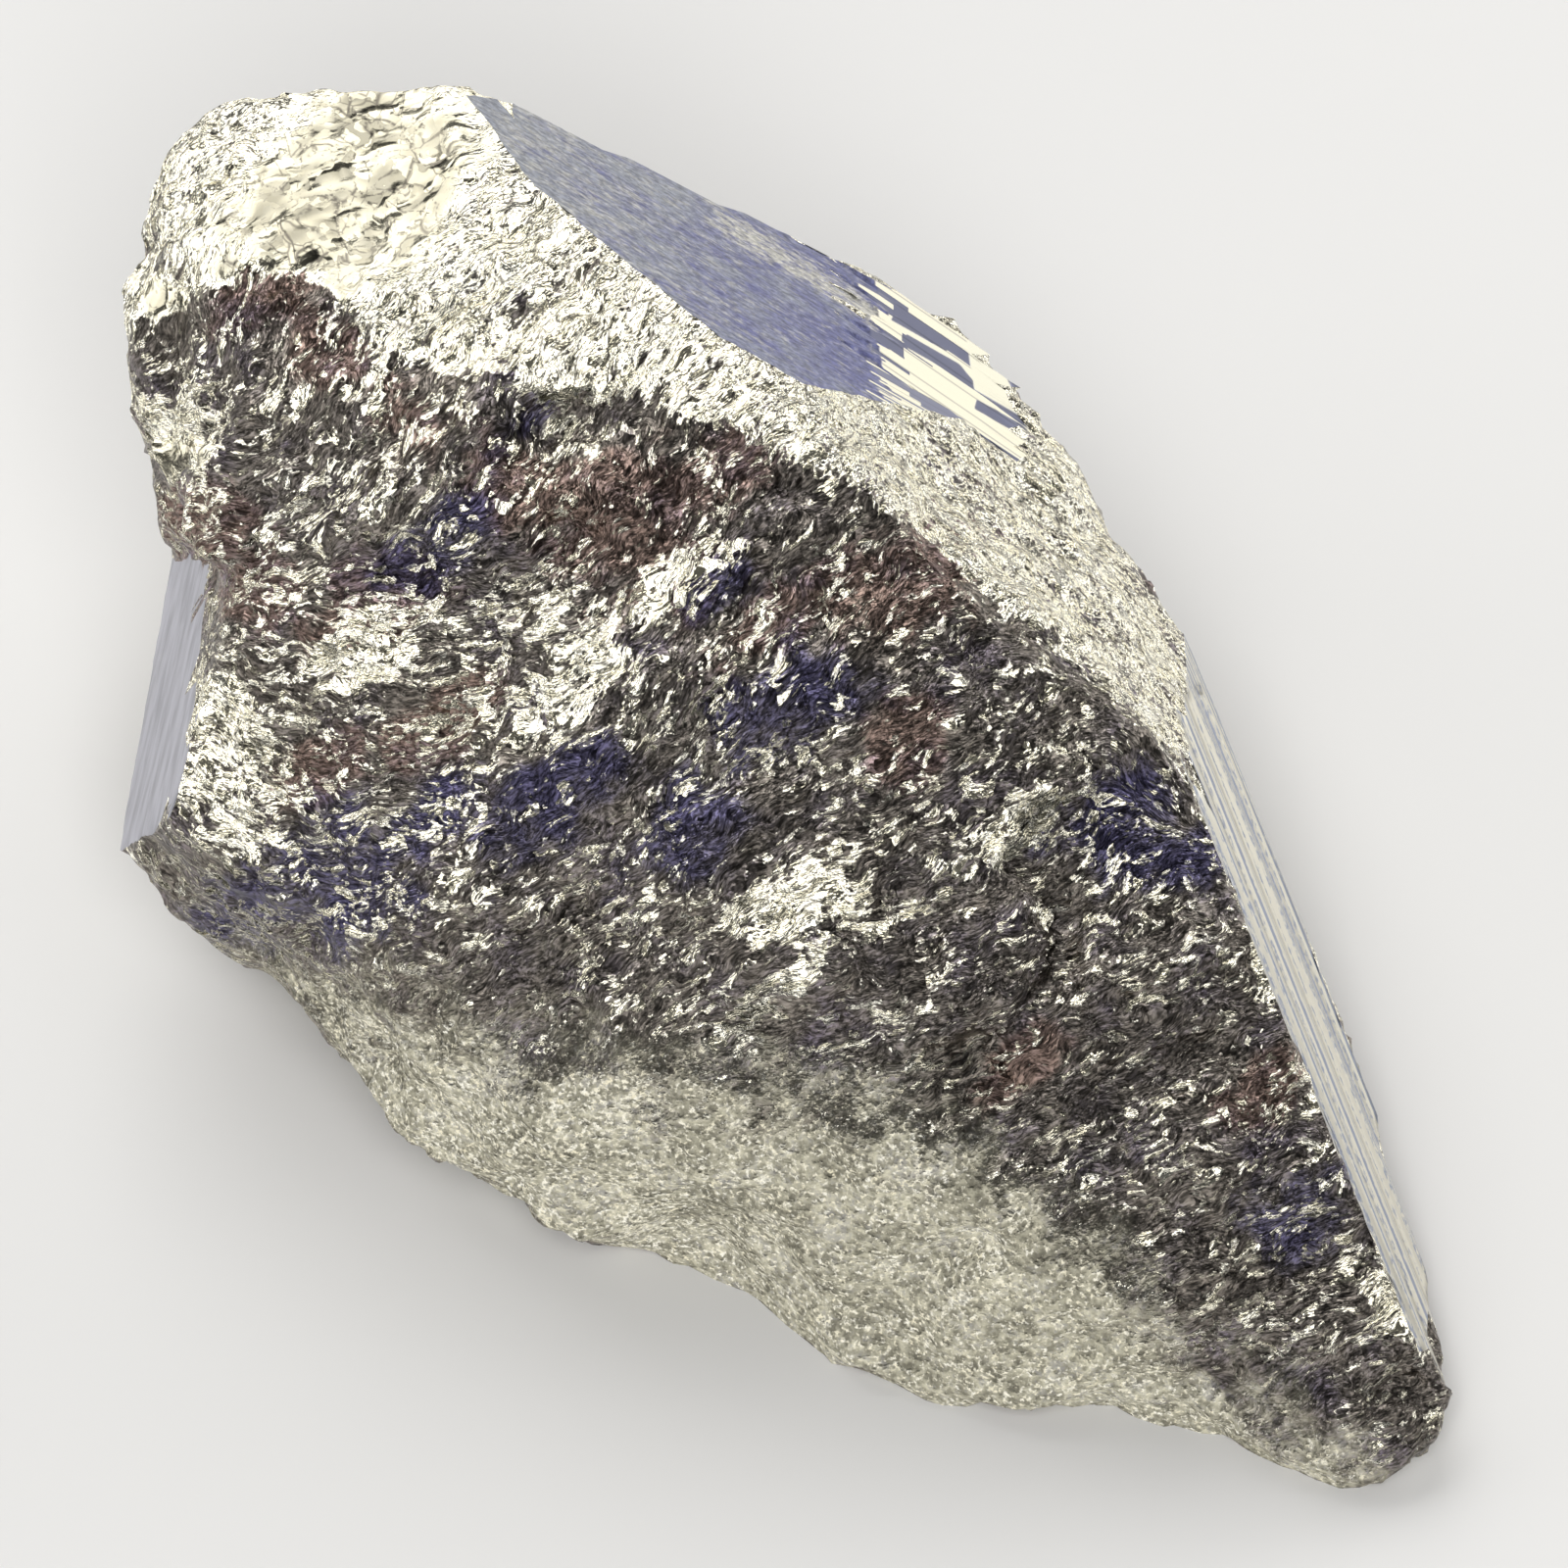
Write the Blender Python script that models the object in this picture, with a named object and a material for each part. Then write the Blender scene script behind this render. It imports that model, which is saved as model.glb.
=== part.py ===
"""A lump of pyrite about 75 mm corner to corner, broken from a larger crystal.

One broad hackly face looks up and forward. Smooth growth faces, two of them striated, bound it at the
upper right, the right, the left and the back, and the lump lies on a flat face. Sizes are in millimetres
until the last step, which brings the model to metres with +Z up.
"""

import math

import bmesh
import bpy
from mathutils import Matrix, Vector, geometry, noise

NAME = "pyrite"
TO_METRES = 0.001

# The broad face's own frame: across to the right, up the face, and out of it.
FACE_TILT = math.radians(60)  # how steeply the broad face's outward axis climbs
FACE_HEIGHT = 20.0  # of the frame's origin above the resting face
ON_FLOOR = 0.01  # corners this close to the resting face lie in it

# Growth faces, each as an outward normal and a point, in the broad face's frame.
VIOLET = (Vector((0.544, 0.763, 0.350)), Vector((-4.6, 20.0, 0.0)))
FLANK = (Vector((0.894, 0.369, 0.255)), Vector((16.6, 0.0, -2.5)))
WEDGE = (Vector((-0.940, 0.210, 0.260)), Vector((-23.4, 6.4, -4.5)))
BACK = (Vector((0.060, 0.822, -0.567)), Vector((-11.2, 28.1, -7.4)))
# The way the steps run on each growth face.
VIOLET_RUN = Vector((0.87, -0.49, -0.28))
FLANK_RUN = Vector((0.40, -0.92, 0.0))
WEDGE_RUN = Vector((0.0, 0.0, -1.0))
BACK_RUN = Vector((1.0, 0.0, 0.0))
GROWTH_FACES = ((VIOLET, VIOLET_RUN), (FLANK, FLANK_RUN), (WEDGE, WEDGE_RUN), (BACK, BACK_RUN))

# Where the violet face's near ridge and far end lie, across and up.
VIOLET_RIDGE = ((-13.0, 28.3), (-10.1, 24.4), (-4.6, 20.0), (-2.6, 18.2), (0.8, 16.4), (4.2, 15.7))
VIOLET_FAR = ((-11.2, 28.1), (6.6, 20.2), (9.2, 17.7), (10.6, 14.4))
# The flank's near edge and its skyline, from its top down to the tip.
FLANK_NEAR = ((16.6, 0.0), (21.4, -9.6), (26.8, -24.0))
FLANK_FAR = ((16.6, 6.2), (17.8, 2.6), (21.5, -5.7), (23.6, -10.3), (26.4, -19.0), (27.4, -23.5))

# Broken corners in the broad face's frame.
TOP_SKYLINE = (
    (-26.7, 17.2, -7.0), (-26.6, 23.4, -8.0), (-25.1, 25.8, -7.0), (-23.2, 27.8, -7.0),
    (-20.0, 28.6, -7.0), (-14.4, 28.7, -6.0),
)
CREST = ((-22.5, 18.0, -2.0), (-13.0, 17.0, 0.4), (2.8, 12.0, 1.5), (10.0, 6.4, -1.3))
SHOULDER = ((11.8, 11.2, -10.3), (14.1, 8.2, -10.4))
MIDDLE = ((-8.0, 2.0, 2.2), (8.0, -8.0, 1.0), (-24.2, 5.4, -4.2), (-25.6, -1.2, -4.9))
TOE = ((-15.0, -8.0, -0.6), (3.0, -14.5, 0.6), (17.0, -22.5, -2.6))
FRONT_SKYLINE = (
    (-27.6, -2.8, -12.2), (-26.0, -5.0, -11.5), (-18.2, -11.5, -9.0), (-14.8, -14.6, -9.0),
    (-8.6, -19.1, -8.0), (2.5, -25.1, -7.3), (12.0, -25.9, -7.0), (20.4, -27.8, -6.0),
    (23.6, -28.6, -5.2), (25.2, -28.3, -4.8), (26.9, -26.8, -5.0), (27.4, -25.2, -5.0),
)
# Corners below the resting face, which cuts them off: right and back, in the world's own axes.
FOOT_DEPTH = -3.0
FOOT = (
    (24.0, -21.5), (10.0, -17.3), (1.0, -15.5), (-8.0, -8.5), (-13.0, -4.0), (-20.0, 4.0), (-21.5, 14.0),
    (-17.0, 24.0), (3.0, 24.2), (11.0, 17.0), (16.5, 6.0), (21.5, -5.0), (25.8, -17.0),
)

# Striations: a run of steps along a growth face. Each starts at a place across and up, and its first end
# is lifted off the face, which it dips into.
VIOLET_STEP = 1.35
VIOLET_STEP_DEPTH = 0.34
VIOLET_STEP_COUNT = 13
VIOLET_STEPS_START = (2.2, 18.0)
VIOLET_STEPS_LENGTH = 16.0
VIOLET_STEPS_DIP = math.radians(4.5)
VIOLET_STEPS_LIFT = 0.30
FLANK_STEP = 2.3
FLANK_STEP_DEPTH = 0.30
FLANK_STEP_COUNT = 6
FLANK_STEPS_START = (15.2, 3.2)
FLANK_STEPS_LENGTH = 36.0
FLANK_STEPS_DIP = math.radians(0.7)
FLANK_STEPS_LIFT = 0.12
BACK_STEP = 3.4
BACK_STEP_DEPTH = 0.40
BACK_STEP_COUNT = 10
BACK_STEPS_START = (-24.0, 28.7)
BACK_STEPS_LENGTH = 46.0

# The notch that bares the wedge face, as places out of that face and across it, and how it lies.
NOTCH_OUTLINE = ((20.0, 0.0), (-2.4, 0.0), (-7.0, 8.0), (20.0, 8.0))
NOTCH_RISE = 6.0
NOTCH_LENGTH = 26.0

STEP_FALL = 0.7  # share of a step's width over which it falls
STEP_SINK = 0.02  # how far a step's edge lies under the face, so that no cut grazes it
STEP_CLEARANCE = 3.0  # how far a cutter for steps reaches out of the face

# Triangle sides on broken faces that look up and forward, on the other broken faces, on growth faces and
# underneath.
NEAR_SIDE = 0.88
FAR_SIDE = 1.5
GROWN_SIDE = 1.9
UNDER_SIDE = 4.5
NEAR_TURN = 0.08  # a face counts as looking forward where its normal's outward part is above this
UNDER_TURN = 0.95  # and as underneath where its normal's downward part is above this
SAME_FACE = math.radians(1.5)  # corners this close to one plane share a flat face
GRID_STRAY = 0.45  # how far a triangle's corner may lie off its row, as a share of the side
GRID_MARGIN = 0.55  # how near a face's edge a corner may lie, as a share of the side
GRID_SEED = Vector((3.1, 3.7, 10.0))
GRID_MERGE = 1e-8  # corners closer than this are one

# Hackles: facets stretched along the grain of the break.
GRAIN = Vector((math.cos(math.radians(36)), math.sin(math.radians(36)), 0.0))
COARSE_FACET = 5.2
COARSE_RELIEF = 0.95
FINE_FACET = 2.3
FINE_RELIEF = 0.62
STRETCH = 1.9
FACET_TILT = 2.4
FACET_FALL = 0.9  # how fast a facet's height falls away from its middle, which makes the next one win
FACET_LEVEL = 0.11  # brings the mean height to about zero
FACET_SEED = Vector((1.0, 0.7, 1.3))
TILT_SEED = 7.3
CRISP = 1.6  # how far from a growth face the relief takes to grow
RIM_RELIEF = 0.6  # share of the relief where a broken face meets a growth face
SHY_RELIEF = 0.25  # share of the relief just beside that edge
STEP_BAND = 0.9  # surfaces this close to a growth face and facing its way are part of it
STEP_TURN = 0.75  # least share of a step's normal that points the growth face's way
RUN_TURN = 0.12  # and the most of it that points the way the steps run
BROAD_TURN = 0.35  # ledges, pits and lumps show where a normal's outward part is above this
LEDGE_FOOT = 0.5  # a ledge drops over this distance
LEDGE_TAPER = 5.0  # and tapers away over the first and the last fifth of its length

# Ledges on the broad face: from, to, drop on the right-hand side, and how far the drop takes to recover.
LEDGES = (
    ((-25.0, 18.6), (-19.0, 19.9), 0.9, 3.0),
    ((-19.0, 19.9), (-12.6, 16.6), 1.0, 3.0),
    ((-12.6, 16.6), (-4.0, 15.6), 0.7, 2.6),
    ((-4.0, 15.6), (6.6, 9.4), 0.5, 2.6),
    ((3.2, -6.2), (11.6, -1.6), 0.7, 2.4),
    ((-2.6, -8.6), (2.6, -9.6), 0.6, 2.0),
    ((-16.0, 3.2), (-7.0, 4.6), 0.5, 2.4),
    ((11.6, -13.0), (19.0, -9.0), 0.6, 2.4),
    ((15.6, -20.8), (23.4, -17.6), 0.6, 2.2),
    ((-24.0, 0.6), (-18.4, 3.6), 0.7, 2.2),
)
# Pits (below zero) and lumps (above): across, up, radius and height.
PITS_AND_LUMPS = (
    (-17.6, 23.2, 1.5, -1.1), (-14.0, 18.4, 1.4, -0.9), (-15.6, 8.4, 1.7, -1.0), (-10.2, 14.4, 1.2, -0.8),
    (-18.0, -6.4, 1.8, -0.8), (-7.6, 11.0, 2.4, 0.6), (-13.4, 21.6, 2.8, 0.7), (9.8, 13.4, 1.3, -0.6),
    (0.6, -7.6, 2.6, 0.7), (-9.0, -13.4, 3.0, 0.5), (19.6, -12.6, 1.8, -0.6), (22.6, -23.0, 2.6, 0.5),
)
# Bites out of the skyline: middle, radius, and how far the surface is pushed in.
BITES = (
    (Vector((-2.4, -21.6, -7.6)), 4.8, Vector((0.3, 4.2, 0.4))),
    (Vector((-21.8, -8.6, -10.0)), 3.8, Vector((1.0, 1.3, 0.0))),
    (Vector((15.6, -27.4, -6.6)), 5.5, Vector((-0.1, 2.2, 0.2))),
    (Vector((12.8, 12.4, -10.5)), 3.2, Vector((-0.9, -0.7, 0.0))),
    (Vector((-26.4, 10.6, -8.0)), 4.5, Vector((1.1, 0.0, 0.0))),
)


def face_frame():
    """Takes the broad face's frame to the world's axes."""
    up = (0.0, math.sin(FACE_TILT), math.cos(FACE_TILT))
    out = (0.0, -math.cos(FACE_TILT), math.sin(FACE_TILT))
    turn = Matrix(((1.0, 0.0, 0.0), up, out)).transposed().to_4x4()
    return Matrix.Translation((0.0, 0.0, FACE_HEIGHT)) @ turn


def on_face(across, up, face):
    """The point of a growth face that lies at this place across and up."""
    normal, point = face
    drop = (normal.x * (across - point.x) + normal.y * (up - point.y)) / normal.z
    return Vector((across, up, point.z - drop))


def corners():
    """Every corner of the lump's outer form, in the broad face's frame."""
    found = [on_face(*place, VIOLET) for place in VIOLET_RIDGE + VIOLET_FAR]
    found += [on_face(*place, FLANK) for place in FLANK_NEAR + FLANK_FAR]
    for group in (TOP_SKYLINE, CREST, SHOULDER, MIDDLE, TOE, FRONT_SKYLINE):
        found += [Vector(place) for place in group]
    to_face = face_frame().inverted()
    found += [to_face @ Vector((right, back, FOOT_DEPTH)) for right, back in FOOT]
    return found


def outer_form():
    """The convex form that holds every corner, its flat faces whole."""
    form = bmesh.new()
    for place in corners():
        form.verts.new(place)
    hull = bmesh.ops.convex_hull(form, input=form.verts)
    held = {item for item in hull["geom"] if isinstance(item, bmesh.types.BMVert)}
    spare = [vert for vert in form.verts if vert not in held]
    bmesh.ops.delete(form, geom=spare, context="VERTS")
    bmesh.ops.dissolve_limit(form, angle_limit=SAME_FACE, verts=form.verts, edges=form.edges)
    bmesh.ops.recalc_face_normals(form, faces=form.faces)
    return form


def add_object(name, shape, collection):
    mesh = bpy.data.meshes.new(name)
    shape.to_mesh(mesh)
    shape.free()
    made = bpy.data.objects.new(name, mesh)
    collection.objects.link(made)
    return made


def block(outline, along, out, start, length):
    """A prism: an outline of (across, out) places, run from start for a length."""
    shape = bmesh.new()
    across = out.cross(along)
    ring = [shape.verts.new(start + across * a + out * b) for a, b in outline]
    cap = shape.faces.new(ring)
    run = bmesh.ops.extrude_face_region(shape, geom=[cap])
    moved = [item for item in run["geom"] if isinstance(item, bmesh.types.BMVert)]
    bmesh.ops.translate(shape, verts=moved, vec=along * length)
    bmesh.ops.recalc_face_normals(shape, faces=shape.faces)
    return shape


def steps(count, step, depth):
    """The outline that cuts a run of steps: a gentle fall, then a short steep rise."""
    outline = [(0.0, STEP_CLEARANCE), (0.0, -STEP_SINK)]
    for i in range(count):
        outline.append(((i + STEP_FALL) * step, -depth))
        outline.append(((i + 1) * step, -STEP_SINK))
    outline.append((count * step, STEP_CLEARANCE))
    return outline


def in_face(direction, face):
    """The direction laid into a growth face."""
    out = face[0].normalized()
    return (direction - out * direction.dot(out)).normalized()


def striations(face, run, place, outline, length, dip, lift):
    """A cutter for steps along a growth face. It starts lifted off the face and dips into it by an angle."""
    out = face[0].normalized()
    along = in_face(run, face)
    turn = Matrix.Rotation(dip, 3, out.cross(along))
    return block(outline, turn @ along, turn @ out, on_face(*place, face) + out * lift, length)


def notch():
    """A cutter that leaves the smooth wedge face under a slanting overhang of the left skyline."""
    out = WEDGE[0].normalized()
    depth = in_face(WEDGE_RUN, WEDGE)
    return block(NOTCH_OUTLINE, depth, out, WEDGE[1] - depth * NOTCH_RISE, NOTCH_LENGTH)


def add_cutters(collection):
    violet = steps(VIOLET_STEP_COUNT, VIOLET_STEP, VIOLET_STEP_DEPTH)
    flank = steps(FLANK_STEP_COUNT, FLANK_STEP, FLANK_STEP_DEPTH)
    back = steps(BACK_STEP_COUNT, BACK_STEP, BACK_STEP_DEPTH)
    shapes = {
        "violet_steps": striations(
            VIOLET, VIOLET_RUN, VIOLET_STEPS_START, violet, VIOLET_STEPS_LENGTH, VIOLET_STEPS_DIP,
            VIOLET_STEPS_LIFT),
        "flank_steps": striations(
            FLANK, FLANK_RUN, FLANK_STEPS_START, flank, FLANK_STEPS_LENGTH, FLANK_STEPS_DIP,
            FLANK_STEPS_LIFT),
        "back_steps": striations(BACK, BACK_RUN, BACK_STEPS_START, back, BACK_STEPS_LENGTH, 0.0, 0.0),
        "wedge_notch": notch(),
    }
    made = [add_object(name, shape, collection) for name, shape in shapes.items()]
    for cutter in made:
        cutter.hide_render = True
        cutter.display_type = "WIRE"
    return made


def carve(body, cutters):
    for cutter in cutters:
        cut = body.modifiers.new(cutter.name, "BOOLEAN")
        cut.operation = "DIFFERENCE"
        cut.object = cutter
    bpy.context.view_layer.update()
    graph = bpy.context.evaluated_depsgraph_get()
    carved = bmesh.new()
    carved.from_mesh(bpy.data.meshes.new_from_object(body.evaluated_get(graph)))
    body.modifiers.clear()
    return carved


def growth_face_of(face):
    """The growth face that this face is part of, or None where the stone is broken."""
    middle = face.calc_center_median()
    for growth, run in GROWTH_FACES:
        normal, point = growth
        along_steps = abs(face.normal.dot(in_face(run, growth))) < RUN_TURN
        near = abs(normal.dot(middle - point)) < STEP_BAND
        if along_steps and near and face.normal.dot(normal) > STEP_TURN:
            return growth
    return None


def side_length(face, down):
    if face.normal.dot(down) > UNDER_TURN:
        return UNDER_SIDE
    if growth_face_of(face):
        return GROWN_SIDE
    return NEAR_SIDE if face.normal.z > NEAR_TURN else FAR_SIDE


def inside(place, ring, margin):
    """Whether a place lies in a ring of points and at least a margin from its sides."""
    within = False
    for i, end in enumerate(ring):
        start = ring[i - 1]
        if (start.y > place.y) != (end.y > place.y):
            reach = start.x + (place.y - start.y) * (end.x - start.x) / (end.y - start.y)
            within ^= place.x < reach
        nearest, share = geometry.intersect_point_line(place, start, end)
        nearest = start if share < 0 else end if share > 1 else nearest
        if (place - nearest.to_2d()).length < margin:
            return False
    return within


def grid(ring, side):
    """Places of an even triangular grid inside a ring, each a little off its row."""
    low = Vector((min(p.x for p in ring), min(p.y for p in ring)))
    high = Vector((max(p.x for p in ring), max(p.y for p in ring)))
    row_height = side * math.sqrt(0.75)
    found = []
    for row in range(int((high.y - low.y) / row_height) + 1):
        for column in range(int((high.x - low.x) / side) + 1):
            place = low + Vector(((column + row % 2 / 2) * side, row * row_height))
            stray = noise.cell_vector(Vector((*place, side)) * GRID_SEED)
            place += (stray.to_2d() - Vector((0.5, 0.5))) * side * GRID_STRAY
            if inside(place, ring, side * GRID_MARGIN):
                found.append(place)
    return found


def tile(shape):
    """Cuts every flat face into even triangles that meet the next face's."""
    down = -face_frame().to_3x3().transposed().col[2]
    side_of = {face: side_length(face, down) for face in shape.faces}
    cuts = {}
    for edge in shape.edges:
        side = min(side_of[face] for face in edge.link_faces)
        cuts.setdefault(round(edge.calc_length() / side) - 1, []).append(edge)
    sides = [side_of[face] for face in shape.faces]
    for count, edges in cuts.items():
        if count > 0:
            bmesh.ops.bisect_edges(shape, edges=edges, cuts=count)
    for face, side in zip(list(shape.faces), sides):
        out = face.normal.copy()
        right = (face.verts[1].co - face.verts[0].co).normalized()
        flat = Matrix((right, out.cross(right), out))
        corner = face.verts[0].co.copy()
        loop = list(face.verts)
        ring = [(flat @ (vert.co - corner)).to_2d() for vert in loop]
        places = ring + grid(ring, side)
        rim = [(i, (i + 1) % len(ring)) for i in range(len(ring))]
        made = geometry.delaunay_2d_cdt(places, rim, [list(range(len(ring)))], 1, GRID_MERGE)
        known = {}
        for index, place in enumerate(made[0]):
            source = made[3][index][0] if made[3][index] else None
            if source is not None and source < len(loop):
                known[index] = loop[source]
            else:
                known[index] = shape.verts.new(corner + flat.transposed() @ place.to_3d())
        shape.faces.remove(face)
        for triangle in made[2]:
            shape.faces.new([known[index] for index in triangle])
    slits = [edge for edge in shape.edges if edge.is_boundary]
    bmesh.ops.holes_fill(shape, edges=slits, sides=3)
    shape.normal_update()


def facets(place, size, seed):
    """Height, from about -1 to 1, of a surface broken into facets of this size that tilt at random."""
    spot = place / size + FACET_SEED * seed
    distances, sites = noise.voronoi(spot)
    highest = -math.inf
    for distance, site in zip(distances, sites):
        tilt = noise.cell_vector(site * TILT_SEED) - Vector((0.5, 0.5, 0.5))
        highest = max(highest, tilt.dot(spot - site) * FACET_TILT - distance * FACET_FALL)
    return highest + FACET_LEVEL


def hackle(place):
    """Height of the broken surface's relief, in millimetres."""
    along = GRAIN * place.dot(GRAIN)
    squeezed = along / STRETCH + (place - along)
    relief = facets(squeezed, COARSE_FACET, 3.0) * COARSE_RELIEF
    return relief + facets(squeezed, FINE_FACET, 11.0) * FINE_RELIEF


def ledge_height(place, ledge):
    start, end, drop, recovery = ledge
    run = Vector(end) - Vector(start)
    off = place.to_2d() - Vector(start)
    share = off.dot(run) / run.length_squared
    if not 0.0 < share < 1.0:
        return 0.0
    below = (run.y * off.x - run.x * off.y) / run.length
    if below < 0.0:
        return 0.0
    taper = min(1.0, LEDGE_TAPER * share, LEDGE_TAPER * (1.0 - share))
    return -drop * taper * math.exp(-below / recovery) * min(1.0, below / LEDGE_FOOT)


def bump(place, across, up, radius, height):
    away = (place.to_2d() - Vector((across, up))).length / radius
    return height * math.exp(-away * away)


def broken_height(vert):
    """How far a broken point stands out from the outer form."""
    height = hackle(vert.co)
    if vert.normal.z > BROAD_TURN:
        height += sum(ledge_height(vert.co, ledge) for ledge in LEDGES)
        height += sum(bump(vert.co, *spot) for spot in PITS_AND_LUMPS)
    return height


def bitten(place):
    """How far the bites move a place."""
    moved = Vector()
    for middle, radius, push in BITES:
        away = (place - middle).length / radius
        moved += push * math.exp(-away * away)
    return moved


def break_surface(shape):
    """Gives the broken faces their relief and leaves the growth faces flat, with ragged edges."""
    growth_of = {face: growth_face_of(face) for face in shape.faces}
    moves = {}
    for vert in shape.verts:
        grown = {id(growth_of[face]): growth_of[face] for face in vert.link_faces}
        if id(None) not in grown:
            continue
        nearest = min(abs(normal.dot(vert.co - point)) for (normal, point), _ in GROWTH_FACES)
        on_growth = [growth for growth in grown.values() if growth is not None]
        fade = RIM_RELIEF if on_growth else min(1.0, SHY_RELIEF + nearest / CRISP)
        move = vert.normal * broken_height(vert) * fade + bitten(vert.co)
        for normal, point in on_growth:
            move -= normal * move.dot(normal)
        moves[vert] = move
    for vert, move in moves.items():
        vert.co += move


def rest_flat(shape):
    """Cuts the resting face flat at height zero and puts the origin at the middle of the lump's footprint."""
    bmesh.ops.transform(shape, matrix=face_frame(), verts=shape.verts)
    everything = list(shape.verts) + list(shape.edges) + list(shape.faces)
    cut = bmesh.ops.bisect_plane(
        shape, geom=everything, dist=ON_FLOOR, plane_co=(0, 0, 0), plane_no=(0, 0, 1), clear_inner=True)
    rim = [item for item in cut["geom_cut"] if isinstance(item, bmesh.types.BMEdge)]
    under = bmesh.ops.edgenet_fill(shape, edges=rim)["faces"]
    bmesh.ops.triangulate(shape, faces=under)
    bmesh.ops.recalc_face_normals(shape, faces=shape.faces)
    across = [vert.co.x for vert in shape.verts]
    back = [vert.co.y for vert in shape.verts]
    middle = Vector(((min(across) + max(across)) / 2, (min(back) + max(back)) / 2, 0.0))
    bmesh.ops.translate(shape, verts=shape.verts, vec=-middle)


def pyrite_material():
    material = bpy.data.materials.new(NAME)
    material.use_nodes = True
    shader = material.node_tree.nodes["Principled BSDF"]
    shader.inputs["Base Color"].default_value = (0.52, 0.47, 0.34, 1.0)
    shader.inputs["Metallic"].default_value = 1.0
    shader.inputs["Roughness"].default_value = 0.35
    return material


def add_collection(name):
    made = bpy.data.collections.new(name)
    bpy.context.scene.collection.children.link(made)
    return made


def main():
    for old in list(bpy.data.objects):
        bpy.data.objects.remove(old)
    cutters = add_cutters(add_collection("cutters"))
    body = add_object(NAME, outer_form(), add_collection(NAME + "_crystal"))
    shape = carve(body, cutters)
    tile(shape)
    break_surface(shape)
    rest_flat(shape)
    shape.to_mesh(body.data)
    shape.free()
    body.data.materials.append(pyrite_material())
    for made in [body, *cutters]:
        made.data.transform(Matrix.Scale(TO_METRES, 4))


main()
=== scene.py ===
"""Dresses the pyrite lump: fine hackle on the broken faces, ragged edges on the growth faces, brown and
indigo patches, painted highlights, painted reflections and painted shade, and a plain studio. Sizes are in
millimetres in the broad face's own frame unless a name says otherwise."""

import math

import bmesh
import bpy
import numpy as np
from mathutils import Matrix, Vector, noise


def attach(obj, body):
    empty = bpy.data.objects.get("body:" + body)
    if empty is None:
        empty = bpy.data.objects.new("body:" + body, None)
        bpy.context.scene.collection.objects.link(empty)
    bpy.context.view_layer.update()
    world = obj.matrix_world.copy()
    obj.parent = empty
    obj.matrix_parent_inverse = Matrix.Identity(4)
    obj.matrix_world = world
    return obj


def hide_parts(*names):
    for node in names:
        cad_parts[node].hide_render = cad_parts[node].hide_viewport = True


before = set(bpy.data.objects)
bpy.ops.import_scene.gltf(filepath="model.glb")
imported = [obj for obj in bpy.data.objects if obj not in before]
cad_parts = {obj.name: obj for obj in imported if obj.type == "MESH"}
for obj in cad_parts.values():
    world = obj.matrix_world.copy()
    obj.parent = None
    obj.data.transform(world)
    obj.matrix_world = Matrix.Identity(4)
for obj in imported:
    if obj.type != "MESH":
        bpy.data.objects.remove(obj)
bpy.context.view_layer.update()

bl_info = {
    "name": "Pyrite Lump",
    "version": (1, 0, 0),
    "blender": (4, 5, 0),
    "location": "View3D > Sidebar > Pyrite",
    "description": "A broken lump of pyrite with tarnished, hackly faces, and a plain studio for it",
    "category": "Add Mesh",
}

NODE = "pyrite"
BODY = "root"
MM = 0.001

# The broad face's frame: across to the right, up the face, and out of it.
FACE_TILT = math.radians(60)
FACE_ORIGIN = Vector((0.09, -3.0, 20.0))
ACROSS = Vector((1.0, 0.0, 0.0))
UP = Vector((0.0, math.sin(FACE_TILT), math.cos(FACE_TILT)))
OUT = Vector((0.0, -math.cos(FACE_TILT), math.sin(FACE_TILT)))
TO_FACE = Matrix((ACROSS, UP, OUT))

# Growth faces in the broad face's frame, each as an outward normal and a point.
GROWTH = {
    "violet": (Vector((0.544, 0.763, 0.350)), Vector((-4.6, 20.0, 0.0))),
    "flank": (Vector((0.894, 0.369, 0.255)), Vector((16.6, 0.0, -2.5))),
    "wedge": (Vector((-0.940, 0.210, 0.260)), Vector((-23.4, 6.4, -4.5))),
    "back": (Vector((0.060, 0.822, -0.567)), Vector((-11.2, 28.1, -7.4))),
}
WEDGE_EDGE = ((-24.0, 6.6), (-24.6, 0.6), (-26.2, -2.4))  # the wedge face ends here, across and up
WEDGE_STRAY = 0.5  # its edge strays by up to this much
WEDGE_BITE = 1.1  # in bites of about this size
BROKEN = 0
RESTING = len(GROWTH) + 1
WEDGE_KIND = list(GROWTH).index("wedge") + 1
SAME_PLANE = math.radians(0.5)
SAME_PLACE = 0.001
RESTING_TURN = -0.99  # a face counts as rested on where its normal's upward part is below this
LEAST_FLAT = 1.2  # square millimetres of a flat region that counts as grown
FLAT_FACING = 0.9995  # how squarely the flat of a growth face points its way
STEP_FACING = 0.008  # how well the side of a step has to match its angle
LEAST_STEP = 2  # triangles in the side of a step
STEP_RUN = 0.12  # the most of its normal that points the way the steps run
STEP_BAND = 1.0  # how far its middle may lie from the growth face

# The steps on the growth faces: the width of one and how deep it goes.
STEPS = {"violet": (1.35, 0.32), "flank": (2.3, 0.28), "back": (3.4, 0.38)}
# The gentle and the steep side of a step as shares of its width. The steps of the hackle have them too.
GENTLE_SIDE = 0.7
STEEP_SIDE = 0.3
# The way the steps run on each growth face.
STEPS_ALONG = {
    "violet": Vector((0.87, -0.49, -0.28)),
    "flank": Vector((0.40, -0.92, 0.0)),
    "wedge": Vector((0.25, 0.97, 0.0)),
    "back": Vector((1.0, 0.0, 0.0)),
}

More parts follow.
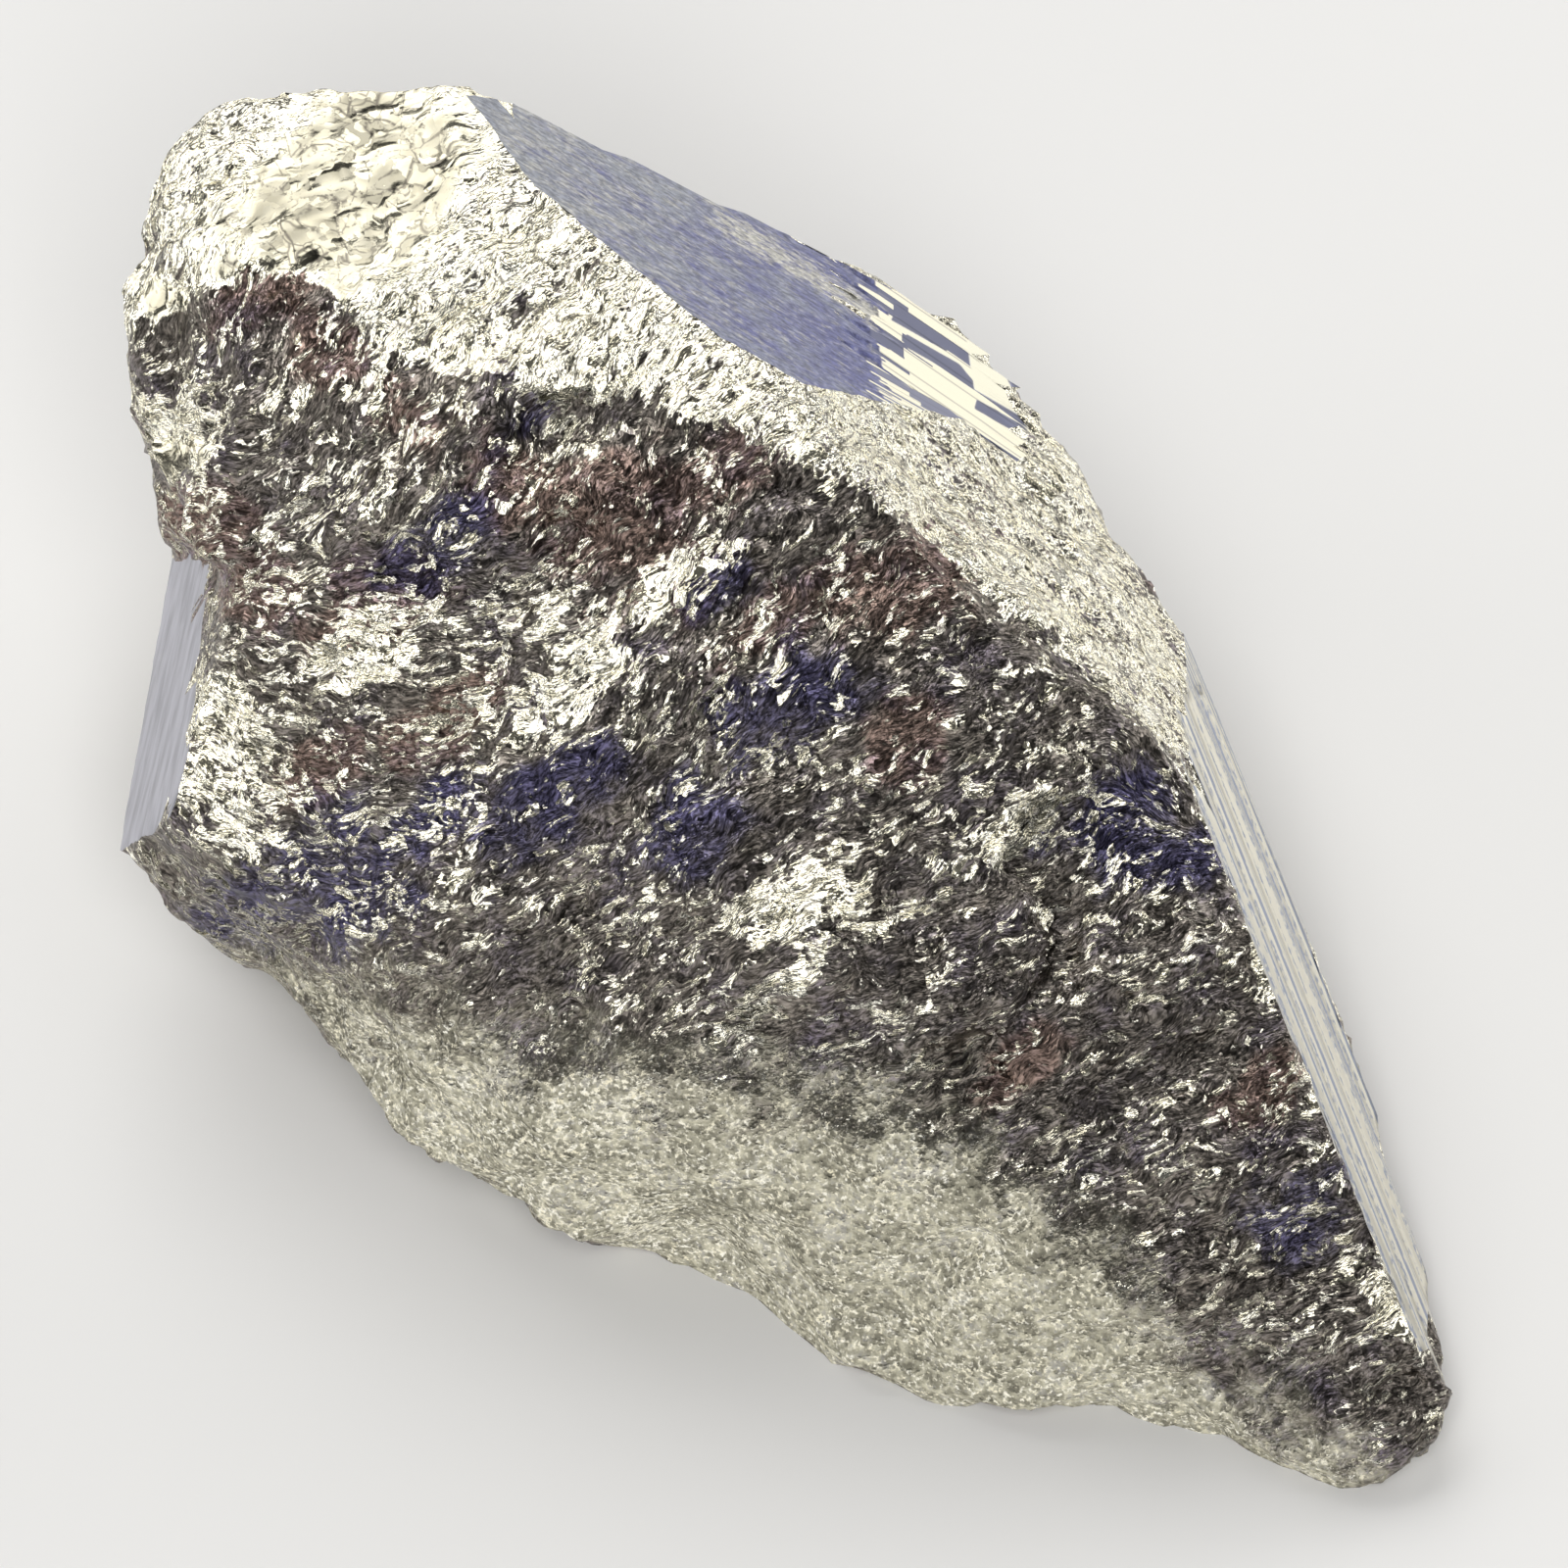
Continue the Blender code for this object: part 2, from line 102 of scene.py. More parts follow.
# The grain of the break: places across and up, and its direction there in degrees up from across.
GRAIN_FIELD = (
    (-18.0, 24.0, 20), (-23.0, 19.0, 78), (-19.0, 16.6, 70), (-24.0, 14.6, 10), (-15.0, 14.6, 62),
    (-8.0, 12.8, 68), (-3.2, 9.6, 60), (2.0, 12.6, 52), (-4.0, 3.6, 58), (2.6, 7.2, 54), (-12.0, 6.4, 14),
    (-18.8, 4.0, 2), (-24.0, 0.8, -28), (-16.0, -2.4, 12), (-10.0, -4.0, 40), (-4.0, -4.0, 44),
    (4.0, 1.6, 32), (7.4, 7.0, 26), (10.6, 2.4, 40), (8.0, -4.0, 34), (2.0, -8.0, 18), (14.0, -3.0, 46),
    (16.0, -10.0, 34), (20.0, -18.0, 28), (24.0, -26.0, 36), (8.0, -14.0, 30), (-2.0, -14.0, 28),
    (-8.0, -12.0, 56), (-15.0, -11.0, 40), (5.0, -24.0, 22), (6.0, 14.0, -30), (9.6, 10.6, -34),
    (13.0, 6.0, -44), (16.0, 0.6, -56),
)
GRAIN_SHARPNESS = 4  # how fast the say of a place falls away with distance
GRAIN_BLUR = 0.2  # square millimetres added to the distance squared, so that no place is infinitely near
GRAIN_STEP = 12  # the material's grain turns by this many degrees at a time
GRAIN_STRAY = 60.0  # and strays by up to half as many degrees as this

# The relief of the break: the directions of its steps, and how far apart those are, in degrees.
HACKLE_WAYS = (-60, -30, 0, 30, 60, 90)
HACKLE_APART = 30
HACKLE_RUN = 3.2  # a step comes and goes over about this length
HACKLE_GAP = 1.5  # and about this far across
HACKLE_DEPTH = 3.0  # and this far out of the broad face
HACKLE_FADE = (-0.25, 0.35)  # it grows from none to all where its noise is between these
HACKLE_WANDER = ((6.5, 1.5), (1.9, 0.5))  # sizes of its bends, and how many widths it wanders in each
SMALL_FLAKE = 0.45  # size and height of a small flake, as a share of a large one's
FLAKE_SEED = 7.3
ELSEWHERE = Vector((40, 0, 0))  # far enough that the small flakes don't repeat the large ones
FLAKE_TILT = 2.4
FLAKE_FALL = 0.9  # how fast a flake's height falls away from its middle, which makes the next one win
FLAKE_LEVEL = 0.1  # brings the mean height to about zero
TOE_CALM = 0.65  # share of the relief that the toe lacks
STRIP_CALM = 0.45  # and the strip beside the violet face
RELIEF_GROWS = (-0.2, 0.7)  # the relief grows over these distances from a growth face
REACH = 1.0  # distances from a growth face are followed this far
RIM_ROUNDS = 12  # edges that may lie within that reach
EDGE_BITES = (0.55, 1.7)  # sizes of the bites in a growth face's edge
EDGE_SEED = 5  # so that the ragged edges come out the same every time

# The ways that whole grounds face, in the lump's own frame.
FRESH_WAY = Vector((-0.148, 0.03, 0.989))  # fresh flecks
TOE_WAY = Vector((0.0, -0.76, 0.65))  # the grains of the toe

PATCH_GRAIN = math.radians(36)  # how the patches below are turned
PATCH_EDGE = 1.35  # a patch fades out at this many times its half length or width
PATCH_FADE = 0.8  # and is whole this much further in
PATCH_STRAY = 0.7  # its edge strays by about this much

# Where the kinds of ground begin, each as a rise from none to all.
GROUND_WANDER = ((2.6, 1.0), (0.9, 0.6))  # sizes of the bends in their edges, and how far those go
NEAR_TURN = (-0.1, 0.25)  # the outward part of the normal, on the side of the broad face
FAR_PATCH = 6.0  # the other sides turn bright and dull in patches of about this size
FAR_FADE = (-0.2, 0.3)
BRIGHT_FADE = (-0.5, 0.7)  # above the bright edge
TOE_BLEND = (-5.0, 3.8)  # below the toe's edge
DARK_START = (-9.0, 6.0)  # to the right, where flecks get fewer
STRIP_START = (-2.0, 3.0)  # to the right, along the violet face
STRIP_FADE = (0.0, 0.8)  # above the bright edge

# The lower edge of the bright ground along the top and the right, as across and up.
BRIGHT_EDGE = (
    (-30.0, 17.5), (-25.0, 19.4), (-22.0, 21.6), (-19.0, 20.6), (-17.0, 18.0), (-12.6, 16.4), (-8.0, 15.8),
    (-4.0, 15.4), (2.8, 12.0), (6.4, 9.6), (10.0, 6.4), (12.4, 4.4), (15.2, 1.2), (16.6, -0.2), (20.0, -8.0),
    (28.0, -24.0),
)
# The upper edge of the paler toe.
TOE_EDGE = (
    (-22.0, -8.0), (-18.4, -9.0), (-12.0, -10.6), (4.0, -13.4), (11.0, -17.6), (18.0, -25.0), (28.0, -32.0),
)

# Patches on the broad face: across, up, half length and half width along and across the grain.
BRIGHT_PATCHES = (
    (-23.6, 1.2, 2.4, 3.4), (-4.4, 8.2, 3.0, 1.0), (-16.6, 5.6, 3.4, 1.8), (20.4, -7.4, 1.6, 1.4),
    (22.6, -13.0, 1.2, 2.2), (25.0, -21.0, 1.0, 2.6), (0.8, -4.4, 3.0, 1.8), (-25.4, 14.6, 1.4, 2.0),
    (-9.0, 3.6, 4.0, 1.2), (8.4, -2.6, 5.0, 0.9), (-1.0, -9.0, 2.4, 0.8),
)
BROWN_PATCHES = (
    (-21.0, 20.4, 2.6, 2.0), (-19.0, 18.4, 1.4, 2.6), (-15.4, 15.0, 1.2, 2.4), (-11.2, 12.8, 1.6, 3.0),
    (-6.4, 10.6, 3.2, 3.8), (-19.0, 0.8, 2.6, 1.3), (9.6, -11.2, 2.6, 1.2), (5.0, 8.4, 4.0, 2.2),
    (-24.0, 10.6, 1.8, 2.4), (19.6, -12.4, 2.2, 1.4), (4.6, 1.4, 2.4, 1.6), (-17.0, 6.6, 3.4, 2.2),
    (-14.0, 2.6, 3.0, 1.6), (-21.6, 8.0, 2.4, 1.6), (0.0, 7.0, 3.4, 1.2), (-2.6, 12.6, 2.6, 1.6),
)
INDIGO_PATCHES = (
    (-10.0, -1.2, 3.4, 2.2), (-4.2, -2.0, 3.0, 1.8), (0.2, 3.0, 3.6, 2.0), (-2.6, 8.0, 1.6, 1.0),
    (-15.0, -1.6, 3.0, 1.4), (14.0, -1.4, 3.4, 2.0), (17.8, -2.8, 2.2, 1.6), (-19.0, -3.0, 3.2, 1.8),
    (-22.0, -5.2, 2.8, 1.6), (-17.4, -5.2, 2.4, 1.6), (-14.6, 9.4, 2.4, 1.4), (-11.0, 14.6, 1.6, 0.9),
    (21.0, -17.6, 2.4, 1.6),
)
# The bright flat at the violet face's far corner, clockwise as across and up: a lean and a painted highlight.
VIOLET_FLAT = ((7.6, 18.7), (8.9, 17.8), (10.2, 15.1), (7.9, 16.4))
# The widest blue-grey stripes on its striated end, in the same way.
WIDE_STRIPES = (
    ((4.65, 19.65), (6.95, 18.38), (6.75, 18.02), (4.45, 19.29)),
    ((5.1, 18.7), (7.3, 17.48), (7.9, 16.75), (7.3, 16.9), (4.95, 18.2)),
    ((8.0, 15.95), (9.9, 14.95), (10.15, 14.7), (9.6, 14.62), (7.9, 15.55)),
)
# Patches of smooth curved sheets.
FOIL_PATCHES = ((-17.6, 24.4, 6.6, 4.0), (-24.6, 12.4, 1.6, 1.6), (-25.4, 19.4, 1.0, 1.8))
# Patches with few bright flecks, where the ground is painted darker.
DARK_PATCHES = (
    (-13.6, 8.6, 4.0, 1.6), (2.0, 4.0, 3.6, 1.6), (15.0, -2.6, 3.4, 2.2), (7.4, -7.2, 3.0, 2.6),
    (-9.0, -7.4, 3.0, 2.6), (0.2, 10.6, 4.6, 1.6), (6.0, 8.6, 3.6, 1.1), (-6.8, 11.0, 3.4, 2.6),
    (-20.6, 20.2, 3.0, 1.4), (22.0, -19.6, 4.0, 2.6), (-1.0, -1.2, 3.4, 1.6), (-9.6, -1.4, 3.2, 1.8),
    (-26.0, 22.0, 1.4, 2.0), (11.4, -13.0, 3.0, 1.4),
)


def from_face(vector):
    """A direction of the broad face's frame in the lump's own frame."""
    return TO_FACE.transposed() @ vector


def steps_of(name):
    """The direction of the steps on a growth face, and the direction across them, both lying in it."""
    out = GROWTH[name][0].normalized()
    along = (STEPS_ALONG[name] - out * STEPS_ALONG[name].dot(out)).normalized()
    return from_face(along), from_face(out.cross(along))


# ---------------------------------------------------------------- settings


def colour_setting(name, description, default):
    """A colour setting."""
    return bpy.props.FloatVectorProperty(
        name=name, description=description, subtype="COLOR", default=default, min=0, max=1)


def length_setting(name, description, default):
    """A setting in metres."""
    return bpy.props.FloatProperty(name=name, description=description, default=default, unit="LENGTH")


def brightness_setting(name, description, default):
    """A setting for how bright a lamp or the room is."""
    return bpy.props.FloatProperty(name=name, description=description, default=default, min=0)


class LumpSettings(bpy.types.PropertyGroup):
    cuts: bpy.props.IntProperty(
        name="Cuts", description="Cuts in each edge of the solid", default=3, min=1, max=3)
    soften: bpy.props.IntProperty(
        name="Soften", description="Rounds of smoothing before the hackle is raised", default=7, min=0)
    step_width: length_setting("Step width", "Width of a hackle step", 1.5 * MM)
    step_height: length_setting("Step height", "Height of a hackle step", 0.26 * MM)
    flake: length_setting("Flake", "Size of the larger flakes", 1.7 * MM)
    flake_height: length_setting("Flake height", "Relief of the larger flakes", 0.24 * MM)
    ragged: length_setting("Ragged edge", "How far a growth face's edge wanders", 0.13 * MM)
    metal: colour_setting("Metal", "Fresh metal", (0.86, 0.80, 0.60))
    # The next colour is the break's dark ground, painted dark in place of the dim room that the metal
    # reflects.
    painted_dark: colour_setting("Dull", "Thinly tarnished metal", (0.17, 0.15, 0.13))
    brown: colour_setting("Brown", "Brown tarnish", (0.21, 0.15, 0.125))
    indigo: colour_setting("Indigo", "Indigo tarnish", (0.075, 0.07, 0.14))
    olive: colour_setting("Olive", "The paler toe", (0.80, 0.76, 0.58))
    # The violet face's colour is a painted reflection.
    violet: colour_setting("Violet", "The smooth violet face", (0.18, 0.19, 0.37))
    # The next colour paints reflections on the flank's darker lines.
    line_reflection: colour_setting("Steel", "Blue-grey lines on the growth faces", (0.36, 0.39, 0.48))
    # The next colour paints the grey faces at the left and the back as a grey reflection.
    grey_reflection: colour_setting("Ash", "The matte grey growth faces", (0.62, 0.62, 0.68))


class StageSettings(bpy.types.PropertyGroup):
    floor: colour_setting("Floor", "Colour of the floor", (0.80, 0.79, 0.77))
    floor_size: length_setting("Floor size", "Side of the floor", 4.0)
    room: brightness_setting("Room", "How bright the dim room is", 0.10)
    key: brightness_setting("Key", "The large soft lamp above and behind", 2.6)
    panel: brightness_setting("Panel", "The standing panel at the back right", 1.9)
    side: brightness_setting("Side", "The lamp on the left", 1.2)
    front: brightness_setting("Front", "The low wide lamp in front", 1.0)
    wash: brightness_setting("Wash", "The lamp that only evens out the floor", 4.6)
    frame_width: length_setting("Frame width", "Width of the picture at the lump", 64 * MM)
    lens: bpy.props.FloatProperty(
        name="Lens", description="Focal length in millimetres", default=400.0, min=20)


# ---------------------------------------------------------------- the mesh


def flat_regions(shape):
    """Lists of faces that lie in one plane with their neighbours."""
    known = set()
    for first in shape.faces:
        if first in known:
            continue
        known.add(first)
        region = [first]
        for face in region:
            for edge in face.edges:
                for other in edge.link_faces:
                    if other not in known and other.normal.angle(face.normal, math.pi) < SAME_PLANE:
                        known.add(other)
                        region.append(other)
        yield region


def faces_as(name, facing, count):
    """Whether a region's facing is that of a growth face's flat, or of a side of its steps."""
    if facing > FLAT_FACING:
        return True
    if name not in STEPS or count < LEAST_STEP:
        return False
    width, depth = STEPS[name]
    sides = [math.cos(math.atan(depth / (width * part))) for part in (GENTLE_SIDE, STEEP_SIDE)]
    return any(abs(facing - side) < STEP_FACING for side in sides)


def kind_of(region):
    """Which growth face a flat region belongs to, counted from one, or that it is broken or rested on."""
    out = region[0].normal
    if out.z < RESTING_TURN:
        return RESTING
    areas = [face.calc_area() / (MM * MM) for face in region]
    if sum(areas) < LEAST_FLAT:
        return BROKEN
    middles = (face.calc_center_median() * area for face, area in zip(region, areas))
    place = TO_FACE @ (sum(middles, Vector()) / sum(areas) / MM - FACE_ORIGIN)
    for kind, (name, (normal, point)) in enumerate(GROWTH.items(), start=1):
        along, _ = steps_of(name)
        facing = (TO_FACE @ out).dot(normal.normalized())
        lies_in_it = abs(out.dot(along)) < STEP_RUN and abs(normal.dot(place - point)) < STEP_BAND
        if lies_in_it and faces_as(name, facing, len(region)):
            return kind
    return BROKEN


def past_wedge(face):
    """Whether a face of the wedge lies past its ragged right edge, where the stone is broken."""
    place = TO_FACE @ (face.calc_center_median() / MM - FACE_ORIGIN)
    edge = float(np.interp(-place.y, [-p[1] for p in WEDGE_EDGE], [p[0] for p in WEDGE_EDGE]))
    return place.x + WEDGE_STRAY * noise.noise(place / WEDGE_BITE) > edge


def divided_copy(node, cuts):
    """A finer copy of the solid's mesh, with the kind of each face."""
    shape = bmesh.new()
    shape.from_mesh(node.data)
    bmesh.ops.remove_doubles(shape, verts=shape.verts, dist=SAME_PLACE * MM)
    shape.normal_update()
    kinds = shape.faces.layers.int.new("kind")
    for region in flat_regions(shape):
        kind = kind_of(region)
        for face in region:
            face[kinds] = kind
    bmesh.ops.subdivide_edges(shape, edges=shape.edges, cuts=cuts, use_grid_fill=True)
    bmesh.ops.triangulate(shape, faces=shape.faces)
    for face in shape.faces:
        if face[kinds] == WEDGE_KIND and past_wedge(face):
            face[kinds] = BROKEN
    mesh = bpy.data.meshes.new("pyrite_lump")
    shape.to_mesh(mesh)
    shape.free()
    return mesh


def read(collection, name, width, kind=np.float64):
    """One property of a mesh's parts as an array."""
    values = np.empty(len(collection) * width, kind)
    collection.foreach_get(name, values)
    return values.reshape(-1, width) if width > 1 else values


def smoothed(places, edges, free, rounds):
    """Places moved half way to the middle of their neighbours, some rounds over, where they are free."""
    count = np.bincount(edges.ravel(), minlength=len(places))[:, None]
    for _ in range(rounds):
        total = np.zeros_like(places)
        np.add.at(total, edges[:, 0], places[edges[:, 1]])
        np.add.at(total, edges[:, 1], places[edges[:, 0]])
        places = np.where(free[:, None], (places + total / count) / 2, places)
    return places


def distance_from(rim, places, edges, reach):
    """How far each place is from the rim along the mesh, up to a reach."""
    far = np.where(rim, 0.0, reach)
    length = np.linalg.norm(places[edges[:, 0]] - places[edges[:, 1]], axis=1)
    for _ in range(RIM_ROUNDS):
        np.minimum.at(far, edges[:, 0], far[edges[:, 1]] + length)
        np.minimum.at(far, edges[:, 1], far[edges[:, 0]] + length)
    return far


def normals_of(places, corners):
    """Each place's normal: the middle of its faces'."""
    first, second, third = (places[corners[:, i]] for i in range(3))
    across = np.cross(second - first, third - first)
    total = np.zeros_like(places)
    for i in range(3):
        np.add.at(total, corners[:, i], across)
    return total / np.maximum(np.linalg.norm(total, axis=1), 1e-12)[:, None]


def ramp(value, low, high):
    """A smooth rise from 0 to 1."""
    share = min(1.0, max(0.0, (value - low) / (high - low)))
    return share * share * (3 - 2 * share)


def wandering(place, bends):
    """Noise of several sizes, each with its own strength."""
    return sum(strength * noise.noise(place / size) for size, strength in bends)


def in_patches(place, patches, wander):
    """How far into the nearest of some patches a place is, from 0 outside to 1 in its middle."""
    nearest = math.inf
    for across, up, length, width in patches:
        right, above = place.x - across, place.y - up
        along = right * math.cos(PATCH_GRAIN) + above * math.sin(PATCH_GRAIN)
        beside = above * math.cos(PATCH_GRAIN) - right * math.sin(PATCH_GRAIN)
        nearest = min(nearest, math.hypot(along / length, beside / width))
    return ramp(PATCH_EDGE - nearest + wander * PATCH_STRAY, 0.0, PATCH_FADE)


def over_edge(place, edge):
    """How far above an edge a place is."""
    return place.y - float(np.interp(place.x, [p[0] for p in edge], [p[1] for p in edge]))


def grain_at(place):
    """The direction of the grain at a place, in degrees up from across."""
    total, turned = 0.0, 0.0
    for across, up, degrees in GRAIN_FIELD:
        say = (GRAIN_BLUR + (place.x - across) ** 2 + (place.y - up) ** 2) ** (-GRAIN_SHARPNESS / 2)
        total += say
        turned += say * degrees
    return turned / total


def ground_at(place, out):
    """What a place of the broken ground is like: its share of each kind of ground, and its grain. Near is
    the side of the broad face, far is the rest."""
    wander = wandering(place, GROUND_WANDER)
    near = ramp(out.z, *NEAR_TURN)
    far = ramp(noise.noise(place / FAR_PATCH + Vector((5, 5, 5))) + wander * 0.3, *FAR_FADE)
    above = over_edge(place, BRIGHT_EDGE)
    shine = max(ramp(above + wander * 0.9, *BRIGHT_FADE), in_patches(place, BRIGHT_PATCHES, wander))
    dark = max(in_patches(place, DARK_PATCHES, wander), 0.6 * ramp(place.x, *DARK_START))
    return {
        "bright": shine * near + 0.6 * far * (1 - near),
        "toe": ramp(wander * 1.8 - over_edge(place, TOE_EDGE), *TOE_BLEND) * near,
        "brown": in_patches(place, BROWN_PATCHES, wander) * near + 0.5 * (1 - far) * (1 - near),
        "indigo": in_patches(place, INDIGO_PATCHES, wander) * near,
        "dark": dark * near,
        "foil": in_patches(place, FOIL_PATCHES, wander * 0.6) * shine * near,
        "grain": grain_at(place),
        "strip": ramp(above, *STRIP_FADE) * ramp(place.x, *STRIP_START) * near,
    }


def hackle_along(place, degrees, width):
    """Steps along a direction, from -0.5 to 0.5, that drop towards the upper left and come and go."""
    turn = math.radians(degrees)
    along = place.x * math.cos(turn) + place.y * math.sin(turn)
    across = place.y * math.cos(turn) - place.x * math.sin(turn)
    share = (across / width + wandering(place, HACKLE_WANDER)) % 1.0
    rise = share / GENTLE_SIDE if share < GENTLE_SIDE else (1.0 - share) / STEEP_SIDE
    spot = Vector((along / HACKLE_RUN, across / HACKLE_GAP, place.z / HACKLE_DEPTH + 9.0))
    return (rise - 0.5) * ramp(noise.noise(spot), *HACKLE_FADE)


def hackle(place, degrees, width):
    """Steps along the grain, blended from the nearest of some fixed directions."""
    shares = ((way, 1.0 - abs(degrees - way) / HACKLE_APART) for way in HACKLE_WAYS)
    return sum(share * hackle_along(place, way, width) for way, share in shares if share > 0.0)


def flakes(place, size):
    """Height of a surface broken into flakes that tilt at random, from about -1 to 1."""
    spot = place / size
    distances, sites = noise.voronoi(spot)
    tilts = (noise.cell_vector(site * FLAKE_SEED) - Vector((0.5, 0.5, 0.5)) for site in sites)
    return FLAKE_LEVEL + max(
        tilt.dot(spot - site) * FLAKE_TILT - distance * FLAKE_FALL
        for tilt, site, distance in zip(tilts, sites, distances))


def broken_height(place, ground, lump):
    """How far a broken place stands out, in millimetres."""
    steps = hackle(place, ground["grain"], lump.step_width / MM)
    large = flakes(place, lump.flake / MM)
    small = flakes(place + ELSEWHERE, SMALL_FLAKE * lump.flake / MM)
    rugged = 1 - TOE_CALM * ground["toe"] - STRIP_CALM * ground["strip"]
    return rugged * (steps * lump.step_height + (large + SMALL_FLAKE * small) * lump.flake_height) / MM


def edge_stray(place, name):
    """How far, and which way, a growth face's edge strays at a place. It stays in the face's plane."""
    normal = GROWTH[name][0].normalized()
    stray = sum((noise.noise_vector(place / bite) for bite in EDGE_BITES), Vector())
    return stray - normal * stray.dot(normal)


def keep_ground(mesh, grounds, kinds):
    """Keeps on the mesh what each corner's ground is like, and which growth face each triangle is of."""
    for name in grounds[0]:
        shares = mesh.attributes.new(name, "FLOAT", "POINT")
        shares.data.foreach_set("value", np.array([ground[name] for ground in grounds], np.float32))
    for index, name in enumerate(GROWTH):
        faces = mesh.attributes.new(name, "FLOAT", "FACE")
        faces.data.foreach_set("value", (kinds == index + 1).astype(np.float32))


def raise_hackle(mesh, lump):
    """Roughens the broken faces, leaves the growth faces flat with ragged edges, and keeps the ground."""
    kinds = read(mesh.attributes["kind"].data, "value", 1, np.int32)
    corners = read(mesh.loops, "vertex_index", 1, np.int32).reshape(-1, 3)
    edges = read(mesh.edges, "vertices", 2, np.int32)
    to_face, origin = np.array(TO_FACE), np.array(FACE_ORIGIN)
    places = (read(mesh.vertices, "co", 3) / MM - origin) @ to_face.T
    broken = np.zeros(len(places), bool)
    broken[corners[kinds == BROKEN].ravel()] = True
    flat = np.zeros(len(places), int)
    flat[corners[kinds != BROKEN].ravel()] = np.repeat(kinds[kinds != BROKEN], 3)
    places = smoothed(places, edges, flat == 0, lump.soften)
    outs = normals_of(places, corners)
    away = distance_from(flat > 0, places, edges, REACH)
    names = list(GROWTH)
    grounds = []
    noise.seed_set(EDGE_SEED)
    for i, (spot, out) in enumerate(zip(places, outs)):
        place, out = Vector(spot), Vector(out)
        grounds.append(ground_at(place, out))
        if not flat[i]:
            height = broken_height(place, grounds[i], lump) * ramp(away[i], *RELIEF_GROWS)
            places[i] += np.array(out) * height
        elif broken[i] and flat[i] != RESTING:
            places[i] += np.array(edge_stray(place, names[flat[i] - 1])) * lump.ragged / MM
    world = places @ to_face + origin
    world[:, 2] = np.maximum(world[:, 2], 0.0)
    mesh.vertices.foreach_set("co", (world * MM).ravel())
    keep_ground(mesh, grounds, kinds)


# ---------------------------------------------------------------- shader maths


class Wire:
    """A node's output. Arithmetic on it adds a Math node, or a Vector Math node where it is a vector."""

    def __init__(self, shades, socket):
        self.shades = shades
        self.socket = socket

    def math(self, operation, *values):
        vectors = [v for v in values if isinstance(v, Wire) and v.socket.type in ("VECTOR", "RGBA")]
        kind = "ShaderNodeVectorMath" if vectors else "ShaderNodeMath"
        return self.shades.add(kind, {"operation": operation}, dict(enumerate(values)))

    def __add__(self, other):
        return self.math("ADD", self, other)

    def __radd__(self, other):
        return self.math("ADD", other, self)

    def __sub__(self, other):
        return self.math("SUBTRACT", self, other)

    def __rsub__(self, other):
        return self.math("SUBTRACT", other, self)

    def __mul__(self, other):
        if self.socket.type in ("VECTOR", "RGBA"):
            inputs = {"Vector": self, "Scale": other}
            return self.shades.add("ShaderNodeVectorMath", {"operation": "SCALE"}, inputs)
        return self.math("MULTIPLY", self, other)

    def __rmul__(self, other):
        return self * other

    def __truediv__(self, other):
        return self.math("DIVIDE", self, other)

    def dot(self, axis):
        inputs = {0: self, 1: axis}
        return self.shades.add("ShaderNodeVectorMath", {"operation": "DOT_PRODUCT"}, inputs, "Value")

    def unit(self):
        return self.math("NORMALIZE", self)

    def most(self, other):
        return self.math("MAXIMUM", self, other)

    def clamped(self):
        return self.shades.add("ShaderNodeClamp", {}, {"Value": self})

    def snapped(self, step):
        return self.math("SNAP", self, step)

    def cosine(self):
        return self.math("COSINE", self)

    def sine(self):
        return self.math("SINE", self)

    def above(self, limit):
        """1 where this is above a limit, and 0 elsewhere."""
        return self.math("GREATER_THAN", self, limit)

    def between(self, low, high):
        """A smooth rise from 0 to 1 as this goes from low to high."""
        inputs = {"Value": self, "From Min": low, "From Max": high}
        return self.shades.add("ShaderNodeMapRange", {"interpolation_type": "SMOOTHSTEP"}, inputs)

    def parts(self):
        """The three parts of a vector or colour."""
        split = self.shades.add("ShaderNodeSeparateXYZ", {}, {0: self})
        return [Wire(self.shades, output) for output in split.socket.node.outputs]


